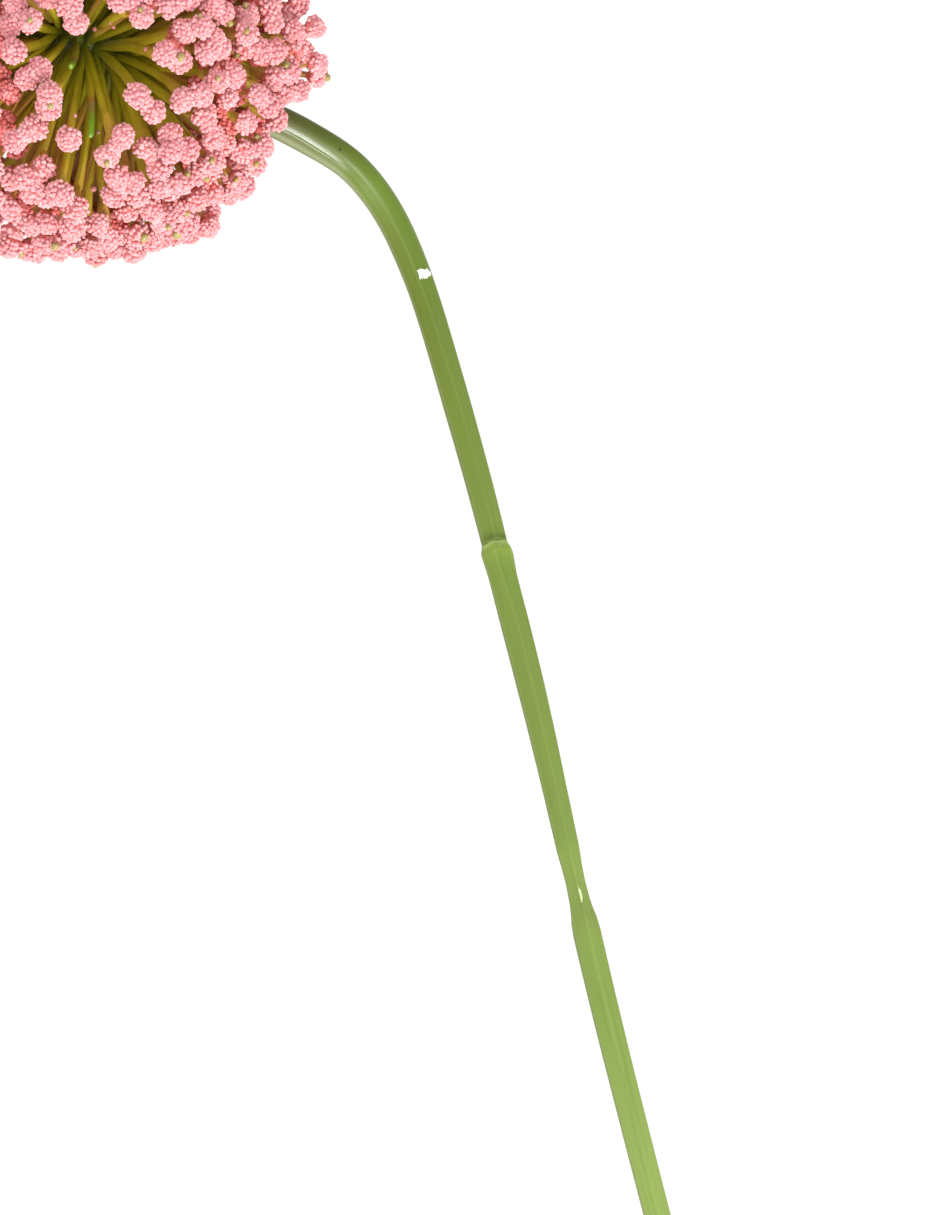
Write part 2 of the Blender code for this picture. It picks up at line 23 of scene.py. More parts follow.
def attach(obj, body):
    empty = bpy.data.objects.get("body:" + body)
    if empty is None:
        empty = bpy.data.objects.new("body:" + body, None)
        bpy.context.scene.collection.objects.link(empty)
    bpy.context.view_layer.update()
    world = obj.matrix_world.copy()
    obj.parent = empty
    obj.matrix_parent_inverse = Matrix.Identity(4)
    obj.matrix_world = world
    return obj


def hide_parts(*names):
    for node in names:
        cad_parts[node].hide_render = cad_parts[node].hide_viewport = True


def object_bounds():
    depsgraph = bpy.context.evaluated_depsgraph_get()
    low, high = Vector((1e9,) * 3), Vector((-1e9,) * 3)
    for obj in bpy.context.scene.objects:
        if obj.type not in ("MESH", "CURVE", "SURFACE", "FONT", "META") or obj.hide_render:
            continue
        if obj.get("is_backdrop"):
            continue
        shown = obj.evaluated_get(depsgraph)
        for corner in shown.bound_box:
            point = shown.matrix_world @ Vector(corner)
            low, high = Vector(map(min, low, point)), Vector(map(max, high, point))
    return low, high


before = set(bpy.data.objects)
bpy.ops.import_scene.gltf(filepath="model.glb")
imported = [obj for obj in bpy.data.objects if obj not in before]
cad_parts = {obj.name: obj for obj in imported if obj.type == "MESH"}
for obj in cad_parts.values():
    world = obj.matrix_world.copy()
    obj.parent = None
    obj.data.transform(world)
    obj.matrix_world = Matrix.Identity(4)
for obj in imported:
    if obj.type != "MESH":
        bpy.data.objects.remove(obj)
CAD_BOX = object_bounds()

MM = 0.001
GOLDEN_TURN = math.pi * (3.0 - math.sqrt(5.0))
LOG = logging.getLogger("allium")

Pair = tuple[float, float]
Triple = tuple[float, float, float]
Table = tuple[Pair, ...]
Stops = tuple[tuple[float, str], ...]
Sized = tuple[Vector, float]
Outline = Callable[[float, float], Pair]


class Slot(Enum):
    """The record's material slots."""

    BEADS = "pink_beads"
    STEM = "stem_green"
    WIRE = "steel_wire"


class Mark(Enum):
    """Names of the meshes' attributes and layers."""

    TINT = "tint"
    # The 'depth' attribute is painted shade: the light at each bead's place, paler on its outward
    # face.
    DEPTH = "depth"
    ALONG = "along"
    GRAIN = "grain"
    SECTION = "section"
    TURN = "turn"


# Materials


def linear(hex_colour: str) -> tuple[float, float, float, float]:
    """Turns an sRGB hex colour to a linear one.

    Args:
        hex_colour: The colour as "#RRGGBB".

    Returns:
        Red, green, blue and an alpha of 1.
    """
    shares = [int(hex_colour[k : k + 2], 16) / 255.0 for k in (1, 3, 5)]
    parts = [s / 12.92 if s <= 0.04045 else ((s + 0.055) / 1.055) ** 2.4 for s in shares]
    return (*parts, 1.0)


def feed(tree: NodeTree, node: Node, inputs: dict[str | int, object]) -> None:
    """Sets a node's inputs.

    Args:
        tree: The node's tree.
        node: The node.
        inputs: For each input socket, a value or the output socket that feeds it.
    """
    for name, value in inputs.items():
        if isinstance(value, NodeSocket):
            tree.links.new(value, node.inputs[name])
        else:
            node.inputs[name].default_value = value


class Surface:
    """A material in the making, with short ways to add the nodes that the finishes share."""

    def __init__(self, name: str) -> None:
        """Makes the material with a Principled BSDF.

        Args:
            name: The material's name.
        """
        self.material = bpy.data.materials.new(name)
        self.material.use_nodes = True
        self.tree = self.material.node_tree

    def add(
        self,
        kind: str,
        settings: dict[str, object] | None = None,
        inputs: dict[str | int, object] | None = None,
    ) -> Node:
        """Adds a shader node.

        Args:
            kind: What follows "ShaderNode" in the node's type name.
            settings: Values for the node's own properties.
            inputs: For each input socket, a value or the output socket that feeds it.

        Returns:
            The new node.
        """
        node = self.tree.nodes.new(f"ShaderNode{kind}")
        for name, value in (settings or {}).items():
            setattr(node, name, value)
        feed(self.tree, node, inputs or {})
        return node

    def mark(self, mark: Mark, output: str = "Fac") -> NodeSocket:
        """The value of one of the mesh's attributes."""
        return self.add("Attribute", {"attribute_name": mark.value}).outputs[output]

    def place(self) -> NodeSocket:
        """The Object coordinates."""
        return self.add("TexCoord").outputs["Object"]

    def maths(self, operation: str, *values: NodeSocket | float) -> NodeSocket:
        """What a sum with numbers gives."""
        return self.add("Math", {"operation": operation}, dict(enumerate(values))).outputs[0]

    def vectors(self, operation: str, *values: NodeSocket | Triple) -> NodeSocket:
        """What a sum with vectors gives."""
        node = self.add("VectorMath", {"operation": operation}, dict(enumerate(values)))
        return node.outputs["Value" if operation == "LENGTH" else "Vector"]

    def axis(self, vector: NodeSocket, name: str) -> NodeSocket:
        """One of a vector's parts."""
        return self.add("SeparateXYZ", inputs={"Vector": vector}).outputs[name]

    def noise(self, where: NodeSocket, size: float, detail: float) -> NodeSocket:
        """A noise from 0 to 1 whose spots have the size, in the units of the coordinates."""
        inputs = {"Vector": where, "Scale": 1.0 / size, "Detail": detail}
        return self.add("TexNoise", inputs=inputs).outputs["Fac"]

    def between(
        self,
        value: NodeSocket,
        low: float,
        high: float,
        most: NodeSocket | float,
        least: float = 0.0,
    ) -> NodeSocket:
        """A share that grows from the least at one value to the most at another.

        Args:
            value: What it depends on.
            low: The value from which it grows.
            high: The value at which it is full.
            most: The full share.
            least: The share below that.

        Returns:
            The share's socket.
        """
        ends = {"From Min": low, "From Max": high, "To Min": least, "To Max": most}
        return self.add("MapRange", inputs={"Value": value, **ends}).outputs["Result"]

    def ramp(self, value: NodeSocket, stops: Stops) -> NodeSocket:
        """The colour at a value, between the stops.

        Args:
            value: The value, from 0 to 1.
            stops: Each stop's place and sRGB hex colour.

        Returns:
            The colour's socket.
        """
        node = self.add("ValToRGB", inputs={"Fac": value})
        elements = node.color_ramp.elements
        while len(elements) < len(stops):
            elements.new(0.5)
        for element, (place, colour) in zip(elements, stops):
            element.position = place
            element.color = linear(colour)
        return node.outputs["Color"]

    def tinted(self, colour: NodeSocket, other: str, share: NodeSocket) -> NodeSocket:
        """A colour with a share of another one in it."""
        inputs = {"Factor": share, "A": colour, "B": linear(other)}
        return self.add("Mix", {"data_type": "RGBA"}, inputs).outputs["Result"]

    def bumped(self, height: NodeSocket, strength: float, distance: float) -> NodeSocket:
        """The normal over a pattern of heights that stands a distance proud."""
        inputs = {"Strength": strength, "Distance": distance, "Height": height}
        return self.add("Bump", inputs=inputs).outputs["Normal"]

    def finished(self, inputs: dict[str, object]) -> Material:
        """The material, once its shader has its inputs."""
        feed(self.tree, self.tree.nodes["Principled BSDF"], inputs)
        return self.material


@dataclass(frozen=True)
class BeadedFoam:
    """Expanded polystyrene beads, dyed pink and glued on: soft and matt, with painted shade that
    turns red where they meet.
    """

    # Painted shade: the ramp's dark red end colours shaded gaps and deep beads, its pink end the
    # well-lit beads.
    stops: Stops = ((0.0, "#B03A2C"), (0.2, "#DF736C"), (0.43, "#E5A9AB"), (0.66, "#DB8F91"))
    pale_patch: str = "#E3A2A1"
    darkest: float = 0.92
    lightest: float = 1.04
    patch_size: float = 9.0 * MM
    grain_size: float = 0.16 * MM
    grain_height: float = 0.05 * MM
    roughness: float = 0.5
    glow_depth: float = 0.45 * MM

    def build(self) -> Material:
        """Makes the material: colour by the painted shade mark, from dark red in gaps to pink on
        lit beads, a tint for each bead, and fine grain.

        Returns:
            The material.
        """
        surface = Surface("dyed_polystyrene_beads")
        tint, place = surface.mark(Mark.TINT), surface.place()
        patch = surface.maths("MULTIPLY", surface.noise(place, self.patch_size, 2.0), tint)
        colour = surface.ramp(surface.mark(Mark.DEPTH), self.stops)
        colour = surface.tinted(colour, self.pale_patch, patch)
        value = surface.between(tint, 0.0, 1.0, self.lightest, self.darkest)
        varied = surface.add("HueSaturation", inputs={"Color": colour, "Value": value})
        grain = surface.noise(place, self.grain_size, 1.0)
        return surface.finished(
            {
                "Base Color": varied.outputs["Color"],
                "Normal": surface.bumped(grain, 0.25, self.grain_height),
                "Roughness": self.roughness,
                "IOR": 1.45,
                "Specular IOR Level": 0.05,
                "Subsurface Weight": 0.5,
                "Subsurface Scale": self.glow_depth,
                "Subsurface Radius": (1.0, 0.45, 0.4),
            }
        )


@dataclass(frozen=True)
class RayPlastic:
    """Moulded polyethylene rays: olive, waxy, darker by the hub and pale at bare tips.

    Attributes:
        stops: The colours of hub, root, middle, fork, branch, tip, tip again and bare tip.
        shade_patch: The colour of its darker patches.
    """

    stops: Stops = (
        (0.0, "#5E6E10"), (0.12, "#AEA81C"), (0.3, "#C4B42A"), (0.42, "#C0A437"),
        (0.5, "#B57A42"), (0.58, "#988A52"), (0.75, "#988A52"), (0.92, "#74B42C"),
    )
    shade_patch: str = "#8A7A18"
    patch_size: float = 6.0 * MM
    flow_size: float = 0.8 * MM
    flow_height: float = 0.1 * MM
    roughness: float = 0.38
    glow_depth: float = 0.8 * MM

    def build(self) -> Material:
        """Makes the material: colour along the ray, with soft patches and flow marks.

        Returns:
            The material.
        """
        surface = Surface("moulded_polyethylene_olive")
        place = surface.place()
        colour = surface.ramp(surface.maths("MULTIPLY", surface.mark(Mark.ALONG), 0.5), self.stops)
        patch = surface.between(surface.noise(place, self.patch_size, 3.0), 0.45, 0.75, 0.5)
        flow = surface.noise(place, self.flow_size, 2.0)
        return surface.finished(
            {
                "Base Color": surface.tinted(colour, self.shade_patch, patch),
                "Normal": surface.bumped(flow, 0.3, self.flow_height),
                "Roughness": self.roughness,
                "IOR": 1.51,
                "Subsurface Weight": 0.25,
                "Subsurface Scale": self.glow_depth,
                "Subsurface Radius": (1.0, 0.8, 0.15),
            }
        )


@dataclass(frozen=True)
class Spot:
    """A small ragged mark on the stem.

    Attributes:
        colour: Its colour.
        place: Its middle in mm: across, up and along the stem.
        size: Its half sizes in mm.
        raggedness: How far its edge wanders, as a share of its size.
    """

    colour: str
    place: Triple
    size: Triple
    raggedness: float

    def share(self, surface: Surface, grain: NodeSocket) -> NodeSocket:
        """The share that is 1 inside the spot and 0 outside it.

        Args:
            surface: The material in the making.
            grain: The stem's own coordinates.

        Returns:
            The share's socket.
        """
        moved = surface.vectors("SUBTRACT", grain, tuple(part * MM for part in self.place))
        scaled = surface.vectors("DIVIDE", moved, tuple(part * MM for part in self.size))
        wander, wide = surface.noise(scaled, 0.625, 1.0), 2.0 * self.raggedness
        edge = surface.maths("MULTIPLY_ADD", wander, wide, surface.vectors("LENGTH", scaled))
        return surface.between(edge, 1.1 + self.raggedness, 0.9 + self.raggedness, 1.0)


@dataclass(frozen=True)
class StemPlastic:
    """Moulded polyethylene of the stem: green, satin, streaked along, with dull sides that carry a
    painted grey reflection.

    Attributes:
        bands_with_painted_light: The colour at distances along the stem in mm: painted shade near
            the head and just above the joint, painted highlights on the collar's rim and in the
            neck, and a lightening towards the lower end that is partly the moulding's tone and
            partly painted light.
        length: The stem's length in mm.
        spots: The scrape on the bend, a painted glint in the neck and the pit in the bend.
        crease: The crease that breaks the gloss near the head, with painted shade along it.
    """

    # Painted shade near the head (47 to 72 mm) and just above the joint (158.8 mm); painted
    # highlights on the collar's rim (159.1 to 159.7 mm) and in the neck (238 mm); the lightening
    # towards the lower end is partly painted light.
    bands_with_painted_light: Stops = (
        (47.0, "#4E4F1C"), (56.0, "#4E591D"), (64.0, "#5A6926"), (72.0, "#637B2C"),
        (84.0, "#657B2D"), (106.0, "#687C33"), (130.0, "#6D8135"), (156.0, "#718439"),
        (158.1, "#66782F"), (158.8, "#38461A"), (159.1, "#A3B862"), (159.7, "#9DB25C"),
        (160.3, "#82973F"), (164.0, "#71863A"), (190.0, "#70833A"), (225.0, "#74883F"),
        (238.0, "#7D9047"), (262.0, "#778C41"), (298.0, "#82964B"),
    )
    length: float = 335.0
    streak: str = "#5A6C2C"
    streak_width: float = 0.7 * MM
    streak_length: float = 34.0 * MM
    streak_height: float = 0.08 * MM
    painted_side_reflection: str = "#8D9276"
    painted_ridge_highlight: str = "#A4B56A"
    spots: tuple[Spot, ...] = (
        Spot("#F1F2EC", (-1.15, 3.0, 94.7), (1.45, 3.0, 1.15), 0.8),
        # A painted glint in the neck.
        Spot("#D3DFA8", (-0.25, 2.3, 239.8), (0.24, 2.0, 1.5), 1.1),
        Spot("#39431A", (0.28, 3.5, 60.2), (0.38, 2.0, 0.38), 0.2),
    )
    crease: Spot = Spot("#56643A", (2.55, 2.45, 54.0), (0.12, 3.0, 9.0), 0.1)
    roughness: float = 0.3

    def build(self) -> Material:
        """Makes the material on the stem's own coordinates: across, across and along.

        Returns:
            The material.
        """
        surface = Surface("moulded_polyethylene_green")
        grain, section = surface.mark(Mark.GRAIN, "Vector"), surface.mark(Mark.SECTION, "Vector")
        along, across = surface.axis(grain, "Z"), surface.axis(section, "X")
        place = surface.maths("DIVIDE", along, self.length * MM)
        colour = surface.ramp(place, tuple((at / self.length, band) for at, band in self.bands_with_painted_light))
        scale = (1.0 / self.streak_width, 1.0 / self.streak_width, 1.0 / self.streak_length)
        drawn = surface.add("Mapping", inputs={"Vector": grain, "Scale": scale}).outputs["Vector"]
        streaks = surface.noise(drawn, 1.0, 3.0)
        colour = surface.tinted(colour, self.streak, surface.between(streaks, 0.5, 0.8, 0.4))
        # Painted highlight along the section's corners.
        corner = surface.between(surface.vectors("LENGTH", section), 0.98, 1.0, 0.12)
        colour = surface.tinted(colour, self.painted_ridge_highlight, corner)
        # Painted reflection: both sides of the section are tinted grey where they would reflect the
        # floor.
        side = surface.maths("ABSOLUTE", across)
        colour = surface.tinted(colour, self.painted_side_reflection, surface.between(side, 0.8, 0.97, 0.65))
        for spot in self.spots:
            colour = surface.tinted(colour, spot.colour, spot.share(surface, grain))
        # Painted shade in the crease.
        creased = self.crease.share(surface, grain)
        colour = surface.tinted(colour, self.crease.colour, creased)
        low_side = surface.between(across, -0.05, 0.3, 0.8)
        shown = surface.maths("ADD", surface.between(along, 0.1, 0.07, low_side), 0.2)
        unworn = surface.between(creased, 1.0, 0.0, shown)
        gloss = surface.maths("MULTIPLY", surface.between(side, 0.88, 0.66, 0.7), unworn)
        return surface.finished(
            {
                "Base Color": colour,
                "Specular IOR Level": gloss,
                "Normal": surface.bumped(streaks, 0.45, self.streak_height),
                "Roughness": self.roughness,
                "IOR": 1.51,
            }
        )


@dataclass(frozen=True)
class DrawnSteel:
    """Drawn steel wire: grey, with drawing lines across which the gloss breaks."""

    colour: str = "#8A8A8C"
    smoothest: float = 0.3
    roughest: float = 0.55
    line_size: float = 0.2 * MM

    def build(self) -> Material:
        """Makes the material, with drawing lines across which the gloss breaks.

        Returns:
            The material.
        """
        surface = Surface("drawn_steel_wire")
        lines = surface.noise(surface.place(), self.line_size, 2.0)
        rough = surface.between(lines, 0.0, 1.0, self.roughest, self.smoothest)
        inputs = {"Base Color": linear(self.colour), "Roughness": rough, "Metallic": 1.0}
        return surface.finished(inputs)


@dataclass(frozen=True)
class StudioPaper:
    """Matt paper on a light table: the light from below leaves hardly a shadow on it."""

    colour: str = "#F4F4F2"
    unlit_share: float = 0.25
    glow: float = 0.95
    cloud_size: float = 0.25

    def build(self) -> Material:
        """Makes the material, with a faint unevenness.

        Returns:
            The material.
        """
        surface = Surface("studio_paper")
        cloud = surface.noise(surface.place(), self.cloud_size, 2.0)
        dull = [part * self.unlit_share for part in linear(self.colour)[:3]]
        return surface.finished(
            {
                "Base Color": (*dull, 1.0),
                "Roughness": surface.between(cloud, 0.0, 1.0, 0.95, 0.8),
                "Specular IOR Level": 0.0,
                "Emission Color": linear(self.colour),
                "Emission Strength": self.glow,
            }
        )


# Shapes that several pieces share


@dataclass(frozen=True)
class Station:
    """One cross-section of a swept piece.

    Attributes:
        place: The section's frame, with +Z along the piece.
        wide: Half the section's width, along the frame's X.
        deep: Half its depth, along the frame's Y.
        along: How far along the piece the section is.
    """

    place: Matrix
    wide: float
    deep: float
    along: float


def facing(point: Vector, side: Vector, ahead: Vector) -> Matrix:
    """The frame at a point with +X to the side and +Z ahead."""
    turned = Matrix((side, ahead.cross(side), ahead)).transposed()
    return Matrix.Translation(point) @ turned.to_4x4()


def oval(turn: float, _: float) -> Pair:
    """The unit circle, which a station's half sizes make an oval."""
    return math.sin(turn), math.cos(turn)


def sweep(work: BMesh, stations: Sequence[Station], sides: int, outline: Outline) -> None:
    """Adds a closed piece by extruding a ring from station to station.

    Args:
        work: The mesh to add to, with the layers of new_swept_mesh().
        stations: The cross-sections in order.
        sides: How many points the ring has.
        outline: The unit section's point for an angle and a distance along the piece.
    """
    along = work.verts.layers.float[Mark.ALONG.value]
    grain = work.verts.layers.float_vector[Mark.GRAIN.value]
    section = work.verts.layers.float_vector[Mark.SECTION.value]
    turn = work.verts.layers.float[Mark.TURN.value]
    ring = bmesh.ops.create_circle(work, segments=sides, radius=1.0)["verts"]
    for k, vert in enumerate(ring):
        vert[turn] = math.tau * k / sides
    edges = list(dict.fromkeys(edge for vert in ring for edge in vert.link_edges))
    ends = [edges]
    for index, station in enumerate(stations):
        if index:
            made = bmesh.ops.extrude_edge_only(work, edges=edges)["geom"]
            ring = [item for item in made if isinstance(item, BMVert)]
            inside = set(ring)
            edges = [e for e in made if isinstance(e, BMEdge) and set(e.verts) <= inside]
        for vert in ring:
            x, y = outline(vert[turn], station.along)
            local = Vector((x * station.wide, y * station.deep, 0.0))
            vert.co = station.place @ local
            vert[along] = station.along
            vert[grain] = (local.x, local.y, station.along)
            vert[section] = (x, y, 0.0)
    ends.append(edges)
    for edge_loop in ends:
        bmesh.ops.contextual_create(work, geom=edge_loop)


def new_swept_mesh() -> BMesh:
    """An empty bmesh for swept pieces.

    Returns:
        The bmesh, with the layers that sweep() fills.
    """
    work = bmesh.new()
    for mark in (Mark.ALONG, Mark.TURN):
        work.verts.layers.float.new(mark.value)
    for mark in (Mark.GRAIN, Mark.SECTION):
        work.verts.layers.float_vector.new(mark.value)
    return work


def put_in_scene(name: str, data: ID) -> Object:
    """Puts an object in the scene.

    Args:
        name: Its name.
        data: Its mesh, light or camera.

    Returns:
        The object.
    """
    made = bpy.data.objects.new(name, data)
    bpy.context.scene.collection.objects.link(made)
    return made


def finish_piece(mesh: Mesh, material: Material, slot: Slot, node: str) -> None:
    """Puts a finished mesh in the scene as a piece that stands for a solid.

    Args:
        mesh: The mesh in the solids' own frame, with the piece's name.
        material: Its material.
        slot: The record's slot; not used.
        node: The solid that it replaces.
    """
    mesh.materials.append(material)
    piece = put_in_scene(mesh.name, mesh)
    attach(piece, "root")
    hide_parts(node)
    mesh.calc_loop_triangles()
    LOG.info("%s: %d triangles", mesh.name, len(mesh.loop_triangles))


def mesh_of(work: BMesh, name: str, sharp_from: float | None = None) -> Mesh:
    """Turns a bmesh into a smooth-shaded mesh with outward faces.

    Args:
        work: The bmesh, which is freed.
        name: The mesh's name.
        sharp_from: The angle in radians from which an edge stays sharp, or None.

    Returns:
        The mesh.
    """
    bmesh.ops.recalc_face_normals(work, faces=work.faces)
    mesh = bpy.data.meshes.new(name)
    work.to_mesh(mesh)
    work.free()
    mesh.shade_smooth()
    if sharp_from is not None:
        mesh.set_sharp_from_angle(angle=sharp_from)
    return mesh


class Pattern:
    """A small operator-made mesh that is copied many times, as arrays."""

    def __init__(self, subdivisions: int) -> None:
        """Makes a unit ball.

        Args:
            subdivisions: How often the icosphere is subdivided: 1 gives 20 faces.
        """
        work = bmesh.new()
        bmesh.ops.create_icosphere(work, subdivisions=subdivisions, radius=1.0)
        work.verts.index_update()
        self.points = np.array([vert.co for vert in work.verts])
        self.corners = np.array([vert.index for face in work.faces for vert in face.verts])
        work.free()


def unit(rows: np.ndarray) -> np.ndarray:
    """Rows of numbers at a length of 1."""
    return rows / np.linalg.norm(rows, axis=1, keepdims=True)


def random_turns(draw: np.random.Generator, count: int) -> np.ndarray:
    """Even random rotation matrices.

    Args:
        draw: The source of the draws.
        count: How many.

    Returns:
        An array of shape (count, 3, 3).
    """
    w, x, y, z = unit(draw.normal(size=(count, 4))).T
    rows = [
        [1 - 2 * (y * y + z * z), 2 * (x * y - z * w), 2 * (x * z + y * w)],
        [2 * (x * y + z * w), 1 - 2 * (x * x + z * z), 2 * (y * z - x * w)],
        [2 * (x * z - y * w), 2 * (y * z + x * w), 1 - 2 * (x * x + y * y)],
    ]
    return np.array(rows).transpose(2, 0, 1)


@dataclass
class Copies:
    """Copies of one pattern: where they are, their sizes and turns, and their marks.

    Attributes:
        pattern: The pattern.
        places: Each copy's middle.
        sizes: Its radius.
        turns: Its rotation.
        tints: Its random share of the colour's variation.
        lights: How much light its place gets, from 0 in a gap to 1 on the outside, painted into its
            colour as shade.
        outs: The unit vector out of the lobe, towards which its surface is painted palest, a
            painted highlight.
    """

    pattern: Pattern
    places: np.ndarray
    sizes: np.ndarray
    turns: np.ndarray
    tints: np.ndarray
    lights: np.ndarray
    outs: np.ndarray

    def points(self) -> tuple[np.ndarray, np.ndarray]:
        """Every copy's points.

        Returns:
            The points, of shape (copies, points, 3), and their painted shade marks.
        """
        turned = np.einsum("nij,pj->npi", self.turns, self.pattern.points)
        # Painted highlight and shade: each copy is painted paler towards its outward side and
        # darker on its sides.
        crown = 0.5 + 0.5 * np.einsum("npi,ni->np", turned, self.outs)
        placed = turned * self.sizes[:, None, None] + self.places[:, None, :]
        return placed, self.lights[:, None] * (0.5 + 0.5 * crown)


def stamped_mesh(name: str, batches: Sequence[Copies]) -> Mesh:
    """One mesh of all copies, with each point's tint and its painted shade among the beads.

    Args:
        name: The mesh's name.
        batches: The copies.

    Returns:
        The mesh, smooth-shaded.
    """
    points, corners, tints, painted_shades = [], [], [], []
    start = 0
    for batch in batches:
        placed, depth = batch.points()
        copies, size, _ = placed.shape
        offsets = start + np.arange(copies)[:, None] * size
        points.append(placed.reshape(-1, 3))
        corners.append((batch.pattern.corners[None, :] + offsets).ravel())
        tints.append(np.repeat(batch.tints, size))
        painted_shades.append(depth.ravel())
        start += copies * size
    points, corners = np.concatenate(points), np.concatenate(corners)
    mesh = bpy.data.meshes.new(name)
    mesh.vertices.add(len(points))
    mesh.vertices.foreach_set("co", points.astype(np.float32).ravel())
    mesh.loops.add(len(corners))
    mesh.loops.foreach_set("vertex_index", corners.astype(np.int32))
    mesh.polygons.add(len(corners) // 3)
    mesh.polygons.foreach_set("loop_start", np.arange(0, len(corners), 3, dtype=np.int32))
    mesh.update(calc_edges=True)
    mesh.shade_smooth()
    for mark, values in ((Mark.TINT, tints), (Mark.DEPTH, painted_shades)):
        attribute = mesh.attributes.new(mark.value, "FLOAT", "POINT")
        attribute.data.foreach_set("value", np.concatenate(values).astype(np.float32))
    return mesh


# The stem's centre line, shared by the stem, the wire and the head


@dataclass
class Route:
    """The stem's centre line, from knots beside, behind and above the head's middle."""

    head_x: float = -39.78 * MM
    head_y: float = 112.28 * MM
    samples: int = 24
    knots: tuple[Triple, ...] = (
        (-11.7, 1.8, 51.0), (0.0, 0.0, 43.5), (12.5, -1.9, 35.5), (25.0, -3.35, 27.7),
        (36.5, -4.3, 20.6), (45.4, -5.9, 14.2), (53.2, -9.0, 9.5), (58.6, -14.1, 6.8),
        (63.0, -21.0, 5.0), (66.8, -29.8, 3.8), (70.2, -40.0, 3.22), (74.7, -56.7, 3.12),
        (80.9, -81.4, 3.32), (86.4, -105.5, 3.51), (93.5, -137.1, 3.33), (106.0, -198.3, 3.03),
        (122.2, -269.0, 2.7),
    )
    points: list[tuple[float, Vector]] = field(default_factory=list)

    def __post_init__(self) -> None:
        """Lays a Catmull-Rom curve through the knots and measures it from the head's middle."""
        knots = [
            Vector((self.head_x + x * MM, self.head_y + y * MM, z * MM)) for x, y, z in self.knots
        ]
        ends = [2 * knots[0] - knots[1], *knots, 2 * knots[-1] - knots[-2]]
        line = []
        for p0, p1, p2, p3 in zip(ends, ends[1:], ends[2:], ends[3:]):
            for step in range(self.samples):
                t = step / self.samples
                curve = 2 * p1 + (p2 - p0) * t + (2 * p0 - 5 * p1 + 4 * p2 - p3) * t**2
                line.append((curve + (3 * p1 - p0 - 3 * p2 + p3) * t**3) / 2)
        line.append(knots[-1])
        distance = -(knots[1] - knots[0]).length
        self.points = [(distance, line[0])]
        for before, point in zip(line, line[1:]):
            distance += (point - before).length
            self.points.append((distance, point))

    def point(self, distance: float) -> Vector:
        """The point at a distance along the centre line.

        Args:
            distance: The distance from the head's middle.

        Returns:
            The point.
        """
        for (low, first), (high, second) in zip(self.points, self.points[1:]):
            if distance <= high:
                return first.lerp(second, (distance - low) / (high - low))
        (low, first), (high, second) = self.points[-2:]
        return first + (second - first) * (distance - low) / (high - low)

    def place(self, distance: float) -> Matrix:
        """The section's frame at a distance along the centre line.

        Args:
            distance: The distance from the head's middle.

        Returns:
            The frame, with +Z along the line and +Y as near to upright as it can be.
        """
        step = 1.5 * MM
        ahead = (self.point(distance + step) - self.point(distance - step)).normalized()
        up = (Vector((0.0, 0.0, 1.0)) - ahead * ahead.z).normalized()
        turned = Matrix((ahead.cross(up), up, ahead)).transposed().to_4x4()
        return Matrix.Translation(self.point(distance)) @ turned

    def gap_to(self, point: Vector, reach: float) -> float:
        """The distance from a point to the centre line's first stretch.

        Args:
            point: The point.
            reach: How far along the line the stretch goes.

        Returns:
            The distance in metres.
        """
        return min((point - on).length for at, on in self.points if 0.0 < at < reach)


# The side of the head that is seen from the front: lobes, nubs, loose beads, the lobes that close
# its rim and the bare tips, by where they are seen, in mm across and up from the head's middle. A
# third number is a radius, and for a bare tip its distance from the head's middle.

